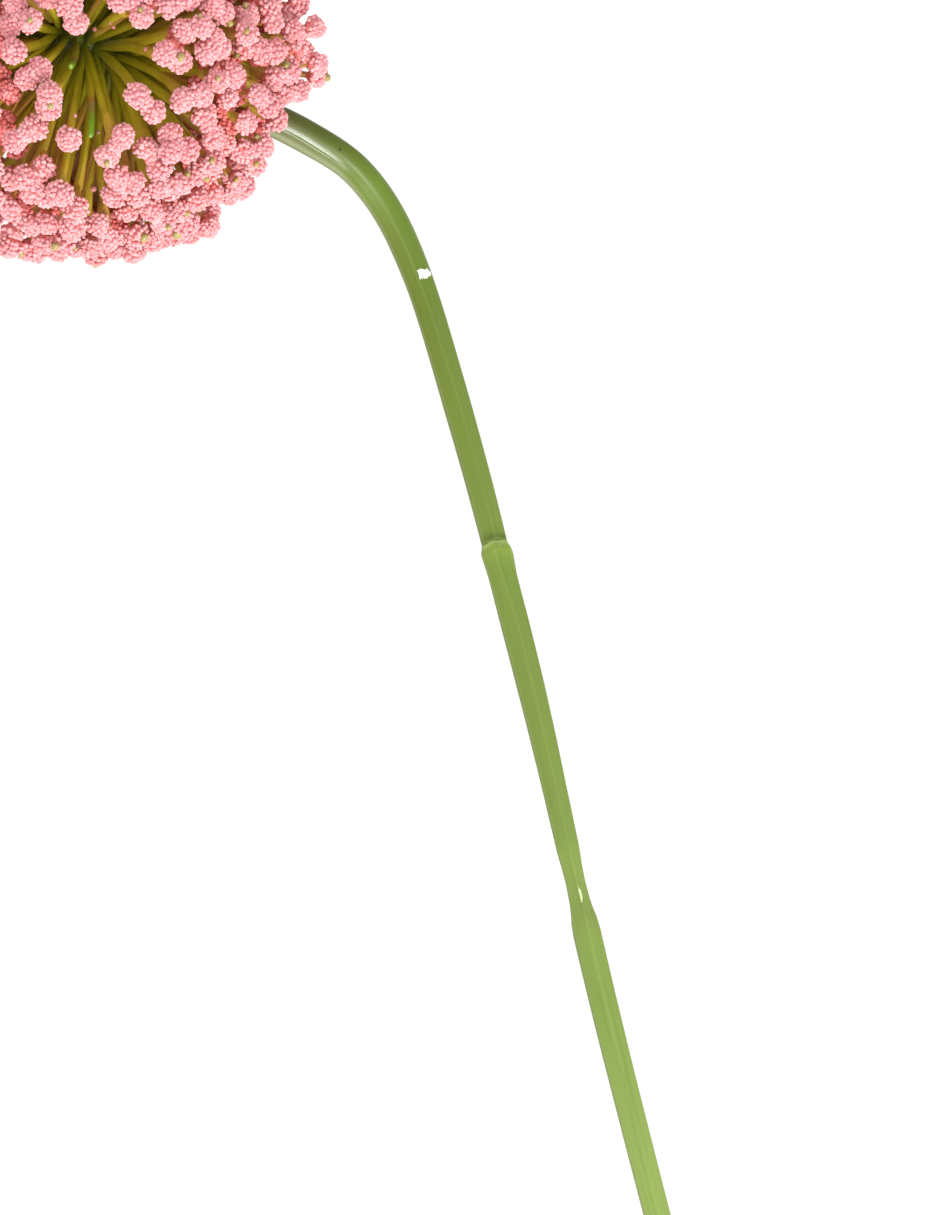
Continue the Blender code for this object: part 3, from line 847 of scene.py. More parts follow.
SEEN_CLUSTERS = (
    ((-15.8, -1.5),), ((-13.3, -6.7), (-10.4, -5.2)), ((-8.5, -10.2), (-8.7, -13.1)),
    ((-11.5, -17.3), (-15.6, -20.0)), ((-4.4, -19.6),), ((3.5, -23.1), (6.9, -19.0)),
    ((9.8, -10.4), (13.3, -14.0)), ((11.0, 5.8), (6.0, 9.4), (10.4, 10.4)),
    ((-2.9, 4.6), (-4.4, 8.5)), ((-12.3, 5.2), (-16.5, 4.1), (-15.4, 8.5)),
    ((-9.4, 9.8), (-10.8, 13.1)), ((15.6, -1.7), (18.7, -3.4)), ((19.6, 3.1), (23.5, 3.7)),
    ((16.5, 8.3), (20.4, 9.4)), ((24.2, -1.5), (27.3, -0.6), (25.4, 1.6)),
    ((19.2, -11.5), (23.1, -10.4)), ((26.2, -7.3), (29.8, -6.1)), ((32.7, 6.0), (32.3, 2.5)),
    ((27.7, 6.2), (25.2, 8.7)), ((37.3, 8.3), (37.9, 5.0)), ((43.1, 8.7), (41.7, 11.9)),
    ((41.5, 3.3), (46.7, 3.7), (43.1, 0.2)), ((46.9, -3.8), (47.1, -6.5)),
    ((41.5, -5.4), (37.9, -7.1)), ((31.9, -0.4), (35.2, -1.1)), ((40.4, -9.8), (43.3, -9.4)),
    ((34.8, -10.4), (36.9, -12.5)), ((38.7, -15.4),), ((32.5, -16.1),),
    ((23.7, -14.4), (25.8, -19.4)), ((16.2, -18.8), (20.2, -21.9), (16.7, -22.5)),
    ((12.1, -21.3), (14.6, -25.6)), ((35.8, -21.1), (34.0, -24.8), (31.5, -21.9)),
    ((28.7, -31.1), (30.8, -27.9)), ((25.6, -24.4), (22.1, -26.5)), ((24.0, -37.9), (24.4, -34.8)),
    ((18.3, -33.8), (20.2, -36.9)), ((18.7, -28.6), (14.6, -29.4)), ((12.5, -34.0), (15.2, -36.9)),
    ((9.0, -42.9), (9.6, -39.2)), ((4.8, -31.1), (9.0, -28.6), (5.6, -27.3)),
    ((-3.1, -33.8), (-3.5, -37.7)), ((-6.9, -30.4),),
    ((-13.3, -27.5), (-9.2, -25.4), (-11.9, -30.6)), ((-16.7, -33.8), (-20.0, -31.5)),
    ((-12.1, -37.3), (-9.0, -36.9)), ((1.7, -37.1), (4.2, -40.2)), ((-16.9, -41.7), (-13.1, -42.3)),
    ((-9.8, -40.9), (-5.8, -41.3)), ((-2.7, -41.9), (0.4, -41.7)), ((12.5, -39.4), (15.4, -39.8)),
    ((20.4, -39.0), (17.9, -38.1)), ((-20.4, -25.0),), ((-21.2, -13.6),), ((-21.7, -6.3),),
)
SEEN_NUBS = (
    (-12.5, 5.2, 0.70), (-8.3, -13.1, 0.75), (3.5, -25.0, 0.75), (19.0, -2.3, 1.00),
    (30.4, -2.5, 0.70), (26.7, -6.9, 0.65), (29.4, 4.1, 0.80), (32.7, 2.9, 0.70),
    (40.6, -3.6, 1.10), (20.6, -26.5, 0.80), (25.4, -24.0, 0.75), (34.6, -18.8, 0.80),
    (34.8, -24.8, 0.75), (30.4, -28.1, 0.65), (20.6, -35.4, 0.70), (16.5, -38.1, 0.65),
    (18.3, -39.8, 1.35), (11.7, -40.4, 1.10), (-7.7, -42.1, 1.05), (-14.6, -43.8, 0.80),
    (-2.9, -42.3, 0.70), (32.3, 8.7, 0.70), (10.4, 7.7, 0.60), (22.9, 6.4, 0.50),
    (24.6, -28.1, 0.65),
)
LOOSE_BEADS = (
    (11.7, -0.9, 0.52), (-2.3, -14.0, 0.45), (-5.6, -10.9, 0.42), (1.9, -18.1, 0.42),
    (0.8, 3.5, 0.50), (4.2, 4.6, 0.45), (5.2, 3.5, 0.50), (-17.3, -8.1, 0.40), (-16.5, -9.4, 0.36),
    (1.0, -30.0, 0.68),
)
GAP_LOBES = (
    (25.6, -31.0), (9.8, -31.2), (41.0, 6.5), (44.3, -1.5), (-16.0, -38.8), (22.0, -32.0),
)
BARE_TIPS = (
    (0.2, -18.8, 35.5), (-4.0, -4.4, 27.0),
)


@dataclass
class NearSide:
    """Turns places in the view into places on the ball of florets, as the solids' rule does.

    Its eye is the camera. All its places are from the head's middle, except in clusters().
    """

    eye: Triple = (79.17 * MM, -613.35 * MM, 1038.04 * MM)
    tilt: float = math.radians(25.0)
    reach: float = 42.0 * MM
    limits: Pair = (39.5 * MM, 44.5 * MM)
    rim_slack: float = 0.3 * MM
    own_spacing: Pair = (3.4 * MM, 5.4 * MM)
    other_spacing: float = 6.28 * MM
    settle_steps: int = 400
    push_share: float = 0.35
    sight_share: float = 0.04
    reach_share: float = 0.1

    def sights(self, spots: np.ndarray) -> np.ndarray:
        """Unit vectors from the eye through places in the view.

        Args:
            spots: Places across and up in metres, of shape (places, 2).

        Returns:
            An array of shape (places, 3).
        """
        across = np.array((1.0, 0.0, 0.0))
        upward = np.array((0.0, math.cos(self.tilt), math.sin(self.tilt)))
        return unit(spots[:, :1] * across + spots[:, 1:] * upward - np.array(self.eye))

    def on_ball(self, sights: np.ndarray, reach: float) -> tuple[np.ndarray, np.ndarray]:
        """Where lines of sight meet a ball round the head's middle, or pass nearest to it.

        Args:
            sights: Unit vectors from the eye.
            reach: The ball's radius.

        Returns:
            The places from the head's middle, and how far each line passes from it.
        """
        eye = np.array(self.eye)
        nearest = eye - sights * (sights @ eye)[:, None]
        rims = np.linalg.norm(nearest, axis=1, keepdims=True)
        return nearest - sights * np.sqrt(np.maximum(reach**2 - rims**2, 0.0)), rims

    def clusters(self, centre: Vector) -> list[list[Vector]]:
        """The measured clusters, settled clear of each other.

        Args:
            centre: The head's middle.

        Returns:
            Each cluster's lobes by their centres.
        """
        owners = np.array([k for k, lobes in enumerate(SEEN_CLUSTERS) for _ in lobes])
        spots = np.array([spot for lobes in SEEN_CLUSTERS for spot in lobes]) * MM
        sights = self.sights(spots)
        places, rims = self.on_ball(sights, self.reach)
        self.settle(places, owners, sights, np.maximum(self.limits[1], rims + self.rim_slack))
        found = [[] for _ in SEEN_CLUSTERS]
        for place, owner in zip(places, owners):
            found[owner].append(centre + Vector(place))
        return found

    def settle(
        self, places: np.ndarray, owners: np.ndarray, sights: np.ndarray, farthest: np.ndarray
    ) -> None:
        """Moves lobes until every cluster clears the others and its own lobes touch.

        Args:
            places: The lobes' places, which are changed.
            owners: Each lobe's cluster.
            sights: Each lobe's line of sight, beside which it hardly moves.
            farthest: How far from the head's middle each lobe may go.
        """
        kin = owners[:, None] == owners
        low = np.where(kin, self.own_spacing[0], self.other_spacing)
        high = np.where(kin, self.own_spacing[1], 1.0)
        np.fill_diagonal(low, 0.0)
        for _ in range(self.settle_steps):
            gaps = places[:, None] - places
            lengths = np.linalg.norm(gaps, axis=2)
            wrong = np.clip(lengths, low, high) - lengths
            np.fill_diagonal(lengths, 1.0)
            push = ((wrong / lengths)[:, :, None] * gaps).sum(axis=1)
            beside = places - np.array(self.eye)
            beside -= sights * (beside * sights).sum(axis=1, keepdims=True)
            reach = np.linalg.norm(places, axis=1, keepdims=True)
            back = places / reach * (reach - np.clip(reach, self.limits[0], farthest))
            places += self.push_share * push - self.sight_share * beside - self.reach_share * back

    def passing(self, points: np.ndarray, sight: np.ndarray) -> tuple[np.ndarray, np.ndarray]:
        """How a line of sight passes points.

        Args:
            points: Places from the head's middle, of shape (places, 3).
            sight: The line's unit vector from the eye.

        Returns:
            How far along the line each point is, and how far beside it.
        """
        ways = points - np.array(self.eye)
        ahead = ways @ sight
        return ahead, np.linalg.norm(ways - ahead[:, None] * sight, axis=1)

    def nubs(self, lobes: np.ndarray, radius: float) -> dict[int, list[tuple[np.ndarray, float]]]:
        """Which lobes the seen nubs poke out of, and which way.

        Args:
            lobes: Every lobe's place from the head's middle.
            radius: A lobe's radius.

        Returns:
            For a lobe's index, the direction and radius of each of its nubs.
        """
        eye = np.array(self.eye)
        found: dict[int, list[tuple[np.ndarray, float]]] = {}
        sights = self.sights(np.array(SEEN_NUBS)[:, :2] * MM)
        for (_, _, size), sight in zip(SEEN_NUBS, sights):
            ahead, aside = self.passing(lobes, sight)
            sunk = np.sqrt(np.maximum(radius**2 - aside**2, 0.0))
            cost = ahead - sunk + np.where(aside < radius, 0.0, 1.0 + aside)
            best = int(np.argmin(cost))
            hit = eye + sight * (ahead[best] - sunk[best]) - lobes[best]
            found.setdefault(best, []).append((hit / np.linalg.norm(hit), size * MM))
        return found


# The head


@dataclass
class Cluster:
    """What a ray ends in: lobes by their hearts, with their nubs, or a bare tip."""

    lobes: list[Vector]
    fork: Vector | None = None
    tip: Vector | None = None
    nubs: dict[int, list[Sized]] = field(default_factory=dict)

    @property
    def middle(self) -> Vector:
        """The middle between the lobes, or the bare tip."""
        return sum(self.lobes, Vector()) / len(self.lobes) if self.lobes else self.tip


def room_for(lobes: Sequence[Vector], taken: Sequence[Vector]) -> float:
    """The least distance from any of the lobes to any lobe that is taken."""
    return min(((lobe - other).length for lobe in lobes for other in taken), default=1.0)


@dataclass
class HeadPlan:
    """Where the head's hubs, stalks and lobes go, by the same rule as in the solids."""

    route: Route
    near: NearSide = field(default_factory=NearSide)
    height: float = 43.5 * MM
    lobe_radius: float = 2.95 * MM
    reach: float = 42.2 * MM
    reach_spread: float = 1.4 * MM
    tilt: float = math.radians(24.0)
    press_depth: float = 0.45 * MM
    turns_tried: int = 12
    spiral_places: int = 184
    most_polar: float = math.radians(164.0)
    first_turn: float = math.radians(12.0)
    jitter: float = math.radians(2.0)
    thin_side: Triple = (0.0, -0.56, 0.83)
    thin_width: float = math.radians(25.0)
    rosettes: int = 10
    stalks_each: int = 19
    hub_pitch: float = 2.5 * MM
    clearance: float = 0.3 * MM
    seed: int = 30
    lobe_spreads: tuple[float, ...] = (0.0, 2.35 * MM, 2.75 * MM)
    lobe_shares: tuple[float, ...] = (0.06, 0.30, 0.64)
    filler_reach: float = 37.8 * MM
    filler_spread: float = 1.6 * MM
    filler_gap: float = 3.7 * MM
    filler_most: int = 325
    filler_tries: int = 1800
    filler_fork: float = 0.3
    gap_reach: float = 41.0 * MM
    window: tuple[float, float, float, float] = (2.5 * MM, -12.5 * MM, 19.0 * MM, 22.0 * MM)
    stem_room: float = 7.6 * MM
    stem_reach: float = 60.0 * MM
    nub_share: float = 0.3
    nub_radius: float = 0.75 * MM
    nub_limits: Pair = (0.75, 1.2)

    @property
    def centre(self) -> Vector:
        """The middle of the ball of florets."""
        return Vector((self.route.head_x, self.route.head_y, self.height))

    def matrix(self) -> Matrix:
        """The head's own frame.

        Returns:
            The frame, whose +Z points out of the flower's front.
        """
        before, middle = [Vector(knot) for knot in self.route.knots[:2]]
        front = (before - middle).normalized()
        side = Vector((0.0, 0.0, 1.0)).cross(front).normalized()
        return facing(self.centre, side, front)

    def axis(self) -> Vector:
        """The direction out of the flower's front."""
        return self.matrix().to_3x3() @ Vector((0.0, 0.0, 1.0))

    def hub_middle(self, index: int) -> Vector:
        """The middle of a rosette's hub on the wire."""
        offset = self.hub_pitch * ((self.rosettes - 1) / 2 - index)
        return self.matrix() @ Vector((0.0, 0.0, offset))

    def hidden_directions(
        self, draw: random.Random, seen: list[list[Vector]], wanted: int
    ) -> list[Vector]:
        """Unit vectors to the clusters that aren't seen, on a sunflower spiral round the ball.

        Args:
            draw: The source of the draws.
            seen: The measured clusters.
            wanted: How many directions are needed; those nearest to a seen lobe are left out.

        Returns:
            The directions.
        """
        turned = self.matrix().to_3x3()
        known = [lobe - self.centre for lobes in seen for lobe in lobes]
        found = []
        for k in range(self.spiral_places):
            level = 1.0 - (1.0 - math.cos(self.most_polar)) * (k + 0.5) / self.spiral_places
            polar = math.acos(level) + draw.uniform(-self.jitter, self.jitter)
            turn = self.first_turn + k * GOLDEN_TURN + draw.uniform(-self.jitter, self.jitter)
            side = math.sin(polar)
            direction = Vector((side * math.cos(turn), side * math.sin(turn), math.cos(polar)))
            direction = turned @ direction
            if direction.angle(Vector(self.thin_side)) > self.thin_width:
                found.append((min(direction.angle(lobe) for lobe in known), direction))
        found.sort(key=lambda pair: -pair[0])
        return [direction for _, direction in found[:wanted]]

    def lobe_centres(self, middle: Vector, axes: Matrix, count: int) -> list[Vector]:
        """Where a cluster's lobes sit, side by side and clear of the floor.

        Args:
            middle: The cluster's middle.
            axes: The cluster's own frame, with +Z out of the head.
            count: How many lobes it has.

        Returns:
            The lobes' centres.
        """
        lobes = []
        for k in range(count):
            angle = math.tau * k / count
            outward = Vector((math.cos(angle), math.sin(angle), 0.0))
            lobe = middle + axes @ outward * self.lobe_spreads[count - 1]
            lobe.z = max(lobe.z, self.lobe_radius - self.press_depth)
            lobes.append(lobe)
        return lobes

    def hidden_cluster(
        self, draw: random.Random, direction: Vector, taken: Sequence[Vector]
    ) -> list[Vector]:
        """The lobes of one cluster, as many as the taken places leave room for.

        Args:
            draw: The source of the draws.
            direction: The unit vector towards it.
            taken: The lobes that it stays clear of.

        Returns:
            Its lobes' centres, in the turn that leaves the most room.
        """
        middle = self.centre + direction * (self.reach + draw.gauss(0.0, self.reach_spread))
        tilt = [draw.uniform(-self.tilt, self.tilt) for _ in range(2)]
        wanted = draw.choices((1, 2, 3), self.lobe_shares)[0]
        turn = draw.uniform(0.0, math.tau)
        near = [lobe for lobe in taken if (lobe - middle).length < 6 * self.lobe_radius]
        upright = direction.to_track_quat("Z", "Y").to_matrix()
        lean = Matrix.Rotation(tilt[0], 3, "X") @ Matrix.Rotation(tilt[1], 3, "Y")
        best_room, best = 0.0, []
        for count in range(wanted, 0, -1):
            for step in range(self.turns_tried):
                spin = turn + math.tau * step / self.turns_tried
                axes = upright @ lean @ Matrix.Rotation(spin, 3, "Z")
                lobes = self.lobe_centres(middle, axes, count)
                room = room_for(lobes, near)
                if room > best_room:
                    best_room, best = room, lobes
            if best_room > 2 * self.lobe_radius + self.clearance:
                break
        return best

    def clusters(self) -> list[list[Cluster]]:
        """The clusters, dealt out to the rosettes from the front to the back of the head.

        Returns:
            Every rosette's clusters.
        """
        draw = random.Random(self.seed)
        seen = self.near.clusters(self.centre)
        hidden = self.hidden_directions(draw, seen, self.rosettes * self.stalks_each - len(seen))
        front = self.axis()
        stalks = [(front.angle(Cluster(lobes).middle - self.centre), None, lobes) for lobes in seen]
        stalks += [(front.angle(direction), direction, None) for direction in hidden]
        stalks.sort(key=lambda stalk: stalk[0])
        taken = [(k // self.stalks_each, lobes) for k, (_, _, lobes) in enumerate(stalks) if lobes]
        found: list[list[Cluster]] = [[] for _ in range(self.rosettes)]
        for k, (_, direction, lobes) in enumerate(stalks):
            own = k // self.stalks_each
            if not lobes:
                others = [lobe for index, group in taken if index != own for lobe in group]
                lobes = self.hidden_cluster(draw, direction, others)
                taken.append((own, lobes))
            found[own].append(Cluster(list(lobes)))
        return found

    def in_window(self, spot: Vector) -> bool:
        """Whether a place is seen in the thin side's window, where nothing may hide the rays.

        Args:
            spot: The place.

        Returns:
            Whether it is.
        """
        eye = Vector(self.near.eye)
        way = spot - self.centre - eye
        upward = Vector((0.0, math.cos(self.near.tilt), math.sin(self.near.tilt)))
        towards = Vector((1.0, 0.0, 0.0)).cross(upward)
        way *= eye.dot(towards) / -way.dot(towards)
        way += eye
        x, y, half_wide, half_high = self.window
        return math.hypot((way.x - x) / half_wide, (way.dot(upward) - y) / half_high) < 1.0

    def add_fillers(self, clusters: list[list[Cluster]]) -> int:
        """Adds single lobes on side forks where the clusters leave gaps.

        Args:
            clusters: Every rosette's clusters, which get the new ones added.

        Returns:
            How many were added.
        """
        draw = random.Random(self.seed + 1)
        taken = [lobe for group in clusters for cluster in group for lobe in cluster.lobes]
        hosts = [(k, cluster.middle) for k, group in enumerate(clusters) for cluster in group]
        spots = []
        for k in range(self.filler_tries):
            level = 1.0 - 2.0 * (k + 0.5) / self.filler_tries
            side = math.sqrt(1.0 - level * level)
            turn = k * GOLDEN_TURN
            direction = Vector((side * math.cos(turn), side * math.sin(turn), level))
            reach = self.filler_reach + draw.gauss(0.0, self.filler_spread)
            spot = self.centre + direction * reach
            spot.z = max(spot.z, self.lobe_radius - self.press_depth)
            in_front = direction.dot(Vector(self.near.eye)) > 0.0
            if in_front and self.in_window(spot):
                continue
            if self.route.gap_to(spot, self.stem_reach) >= self.stem_room:
                spots.append((room_for([spot], taken), spot))
        spots.sort(key=lambda pair: -pair[0])
        rim, _ = self.near.on_ball(self.near.sights(np.array(GAP_LOBES) * MM), self.gap_reach)
        added = [self.centre + Vector(place) for place in rim]
        for room, spot in spots:
            if len(added) >= self.filler_most or room < self.filler_gap:
                break
            if room_for([spot], added) >= self.filler_gap:
                added.append(spot)
        for spot in added:
            index, host = min(hosts, key=lambda pair: (pair[1] - spot).length)
            fork = self.hub_middle(index).lerp(host, self.filler_fork)
            clusters[index].append(Cluster([spot], fork=fork))
        return len(added)

    def add_tips(self, clusters: list[list[Cluster]]) -> None:
        """Adds the two bare rays that are seen in the window.

        Args:
            clusters: Every rosette's clusters, which get the new ones added.
        """
        spots = np.array(BARE_TIPS)[:, :2] * MM
        front = self.axis()
        for (_, _, reach), sight in zip(BARE_TIPS, self.near.sights(spots)):
            tip = Vector(self.near.on_ball(sight[None, :], reach * MM)[0][0])
            turn = front.angle(tip)
            gaps = [
                min(abs(front.angle(cluster.middle - self.centre) - turn) for cluster in group)
                for group in clusters
            ]
            clusters[gaps.index(min(gaps))].append(Cluster([], tip=self.centre + tip))

    def add_nubs(self, clusters: list[list[Cluster]]) -> None:
        """Lets ray tips poke out of lobes: those that are seen, and a share of the others.

        Args:
            clusters: Every rosette's clusters, whose nubs are set.
        """
        draw = random.Random(self.seed + 2)
        everyone = [cluster for group in clusters for cluster in group]
        owners = [(cluster, k) for cluster in everyone for k in range(len(cluster.lobes))]
        places = np.array([cluster.lobes[k] - self.centre for cluster, k in owners])
        for index, nubs in self.near.nubs(places, self.lobe_radius).items():
            cluster, k = owners[index]
            cluster.nubs[k] = [(Vector(way), size) for way, size in nubs]
        eye = Vector(self.near.eye).normalized()
        for cluster, k in owners:
            way = (cluster.lobes[k] - self.centre).normalized()
            if cluster.nubs or cluster.fork or way.dot(eye) > 0.0 or draw.random() > self.nub_share:
                continue
            cluster.nubs[k] = [(way, self.nub_radius * draw.uniform(*self.nub_limits))]


@dataclass
class Ball:
    """A ball of foam beads.

    Attributes:
        heart: Its middle.
        radius: Its radius over the beads.
        bare: The angle of the cone towards the head's middle in which it has no beads.
        nubs: The ray tips that poke out of it, as direction and radius.
    """

    heart: np.ndarray
    radius: float
    bare: float
    nubs: Sequence[Sized]


def dimmed(share: np.ndarray | float, least: float) -> np.ndarray | float:
    """The light at shares from 0 to 1, which never falls under the least."""
    return least + (1.0 - least) * share


@dataclass
class Rosette:
    """One moulded rosette: a hub on the wire, forked rays, and the beaded lobes on their tips."""

    plan: HeadPlan
    index: int
    clusters: list[Cluster]
    others: np.ndarray
    loose: list[Sized] = field(default_factory=list)
    line: list[Sized] = field(default_factory=list)
    ball_radius: float = 2.84 * MM
    ball_limits: Pair = (0.93, 1.04)
    bridge_radius: float = 2.15 * MM
    bead_radius: float = 0.54 * MM
    bead_spread: float = 0.13
    bead_limits: Pair = (0.62, 1.3)
    shell_spread: float = 0.12 * MM
    lump: float = 0.075
    wave: float = 0.7
    wave_pitch: float = 2.2
    disorder: float = 0.075
    beads_each: int = 80
    core_share: float = 0.84
    # Painted shade of the cores.
    core_light: float = 0.42
    core_tint: float = 0.2
    loose_mark: float = 0.8
    bare_angle: float = math.radians(62.0)
    filler_bare_angle: float = math.radians(82.0)
    near_radii: float = 2.4
    hidden_gap: float = 2.15 * MM
    # The gaps and light values below set the painted shade in the beads' colour.
    crowded_gap: float = 1.4 * MM
    crowded_light: float = 0.45
    dark_reach: float = 36.3 * MM
    light_depth: float = 5.4 * MM
    deep_light: float = 0.25
    deep_core_light: float = 0.3
    back_light: float = 0.35
    light_limits: Pair = (0.78, 1.05)
    nub_rim: float = 0.28 * MM
    hub_radius: float = 3.0 * MM
    hub_thickness: float = 1.5 * MM
    hub_sides: int = 20
    spacer_radius: float = 1.9 * MM
    root_depth: float = 0.6 * MM
    root_half_width: float = 0.85 * MM
    ray_half_width: float = 0.95 * MM
    fork_half_width: float = 1.3 * MM
    branch_half_width: float = 0.75 * MM
    tip_half_width: float = 0.72 * MM
    flatness: float = 0.78
    size_limits: Pair = (0.85, 1.2)
    point_limits: Pair = (0.93, 1.07)
    twist: float = 0.7
    bow_outward: Pair = (0.02, 0.05)
    bow_front: float = 0.02
    bow_aside: float = 0.03
    branch_bend: float = 0.2
    branch_overlap: float = 0.8 * MM
    fork_back: float = 7.0 * MM
    lobe_back: float = 3.0 * MM
    ray_sides: int = 8
    sharp_from: float = math.radians(50.0)

    @property
    def name(self) -> str:
        """The solid's name."""
        return f"rosette_{self.index + 1:02d}"

    def build_rays(self, plastic: Material) -> None:
        """Makes the hub, the rays with their forks, and the nubs that poke out of some lobes.

        Args:
            plastic: The rays' material.
        """
        draw = random.Random(self.plan.seed * 1000 + self.index)
        work = new_swept_mesh()
        self.add_hub(work)
        for cluster in self.clusters:
            if cluster.fork is None:
                self.add_ray(work, cluster, draw)
            else:
                self.add_branch(work, cluster, 0, cluster.fork, draw)
        mesh = mesh_of(work, f"{self.name}_rays", self.sharp_from)
        for vertex in mesh.vertices:
            vertex.co.z = max(vertex.co.z, 0.0)
        finish_piece(mesh, plastic, Slot.STEM, self.name)

    def build_beads(self, foam: Material) -> None:
        """Makes the foam beads of every lobe, round a small core of glue, and the loose beads.

        Args:
            foam: The beads' material.
        """
        draw = np.random.default_rng(self.plan.seed * 100 + self.index)
        bead = Pattern(1)
        batches = []
        for cluster in self.clusters:
            bare = self.filler_bare_angle if cluster.fork else self.bare_angle
            balls = [
                Ball(np.array(lobe), self.ball_radius, bare, cluster.nubs.get(k, []))
                for k, lobe in enumerate(cluster.lobes)
            ]
            if len(balls) > 1:
                balls.append(Ball(np.array(cluster.middle), self.bridge_radius, bare, []))
            for ball in balls:
                batches += self.ball_copies(ball, bead, draw)
        if self.loose:
            batches.append(self.loose_copies(draw))
        mesh = stamped_mesh(f"{self.name}_beads", batches)
        finish_piece(mesh, foam, Slot.BEADS, self.name)

    def loose_copies(self, draw: np.random.Generator) -> Copies:
        """The loose beads on this rosette's rays.

        Args:
            draw: The source of the draws.

        Returns:
            Their copies.
        """
        places = np.array([place for place, _ in self.loose])
        sizes = np.array([size for _, size in self.loose])
        outs = unit(places - np.array(self.plan.centre))
        # One value serves the loose beads as tint and as painted light.
        marks = np.full(len(places), self.loose_mark)
        turns = random_turns(draw, len(places))
        return Copies(Pattern(2), places, sizes, turns, marks, marks, outs)

    def ball_copies(self, ball: Ball, bead: Pattern, draw: np.random.Generator) -> list[Copies]:
        """One ball's beads and its core.

        Args:
            ball: The ball.
            bead: The pattern of the beads and the core.
            draw: The source of the draws.

        Returns:
            The copies for the beads and for the core.
        """
        outward = ball.heart - np.array(self.plan.centre)
        reach = np.linalg.norm(outward)
        outward /= reach
        ways = self.bead_ways(draw, round(self.beads_each * (ball.radius / self.ball_radius) ** 2))
        keep = ways @ outward > -math.cos(ball.bare)
        for way, radius in ball.nubs:
            clear = math.asin((radius + self.nub_rim) / (ball.radius - self.bead_radius))
            keep &= ways @ np.array(way) < math.cos(clear)
        ways = ways[keep]
        sizes = 1.0 + draw.normal(size=len(ways)) * self.bead_spread
        sizes = self.bead_radius * np.clip(sizes, *self.bead_limits)
        lumps = self.lumps(draw, ways)
        shell = ball.radius * draw.uniform(*self.ball_limits) - sizes
        shell *= 1.0 + self.lump * lumps
        shell += draw.normal(size=len(ways)) * self.shell_spread
        spots = ball.heart + ways * shell[:, None]
        spots[:, 2] = np.maximum(spots[:, 2], sizes)
        gaps = np.linalg.norm(self.others - ball.heart, axis=1)
        near = self.others[(gaps < self.near_radii * self.ball_radius) & (gaps > 1e-6)]
        crowding = np.full(len(spots), 1.0)
        if len(near):
            gaps = np.linalg.norm(spots[:, None, :] - near[None, :, :], axis=2).min(axis=1)
            keep = gaps > self.hidden_gap
            crowding = np.clip((gaps - self.hidden_gap) / self.crowded_gap, 0.0, 1.0)[keep]
            spots, ways, sizes = spots[keep], ways[keep], sizes[keep]
        # Painted shade: beads of lobes deep in the head, beads crowded by other lobes, beads on a
        # lobe's inner side, and some whole lobes at random get a darker colour.
        outer = np.clip((reach - self.dark_reach) / self.light_depth, 0.0, 1.0)
        front = np.clip(0.5 + 0.75 * ways @ outward, 0.0, 1.0)
        light = dimmed(outer, self.deep_light) * dimmed(crowding, self.crowded_light)
        light *= dimmed(front, self.back_light) * draw.uniform(*self.light_limits)
        turns = random_turns(draw, len(spots))
        beads = Copies(bead, spots, sizes, turns, draw.random(len(spots)), light, ways)
        # The core of glue under the beads is coloured with dark painted shade.
        core = Copies(
            bead,
            ball.heart[None, :],
            np.array([ball.radius * self.core_share]),
            random_turns(draw, 1),
            np.array([self.core_tint]),
            np.array([self.core_light * dimmed(outer, self.deep_core_light)]),
            outward[None, :],
        )
        return [beads, core]

    def lumps(self, draw: np.random.Generator, ways: np.ndarray) -> np.ndarray:
        """How far a ball bulges in each direction: an oval with a wave in it.

        Args:
            draw: The source of the draws.
            ways: The directions.

        Returns:
            The bulges, from about -1 to 1.
        """
        stretch, swell = draw.normal(size=(2, 3))
        lumps = 1.5 * (ways @ (stretch / np.linalg.norm(stretch))) ** 2 - 0.5
        phase = draw.uniform(0.0, math.tau)
        return lumps + self.wave * np.sin(self.wave_pitch * ways @ swell + phase)

    def bead_ways(self, draw: np.random.Generator, count: int) -> np.ndarray:
        """Directions to one ball's beads: even, in a random turn, and a little disordered.

        Args:
            draw: The source of the draws.
            count: How many beads.

        Returns:
            Unit vectors.
        """
        k = np.arange(count)
        level = 1.0 - 2.0 * (k + 0.5) / count
        side = np.sqrt(1.0 - level**2)
        turn = k * GOLDEN_TURN
        ways = np.stack([side * np.cos(turn), side * np.sin(turn), level], axis=1)
        ways = ways @ random_turns(draw, 1)[0].T
        return unit(ways + draw.normal(size=(count, 3)) * self.disorder)

    def add_hub(self, work: BMesh) -> None:
        """Adds the hub disc with its rounded rim, and the spacer under it.

        Args:
            work: The mesh to add to.
        """
        axis = self.plan.axis()
        middle = self.plan.hub_middle(self.index)
        turned = self.plan.matrix().to_3x3().to_4x4()
        pitch = self.plan.hub_pitch / self.hub_thickness
        spacer = self.spacer_radius / self.hub_radius
        levels = [(-0.5 * pitch, spacer), (-0.52, spacer)]
        levels += [(-0.5, 0.86), (-0.32, 1.0), (0.32, 1.0), (0.5, 0.86)]
        if self.index == 0:
            levels += [(0.9, 0.66), (1.25, 0.4), (1.42, 0.14)]
        stations = []
        for level, share in levels:
            place = Matrix.Translation(middle + axis * level * self.hub_thickness) @ turned
            stations.append(Station(place, self.hub_radius * share, self.hub_radius * share, 0.02))
        sweep(work, stations, self.hub_sides, oval)

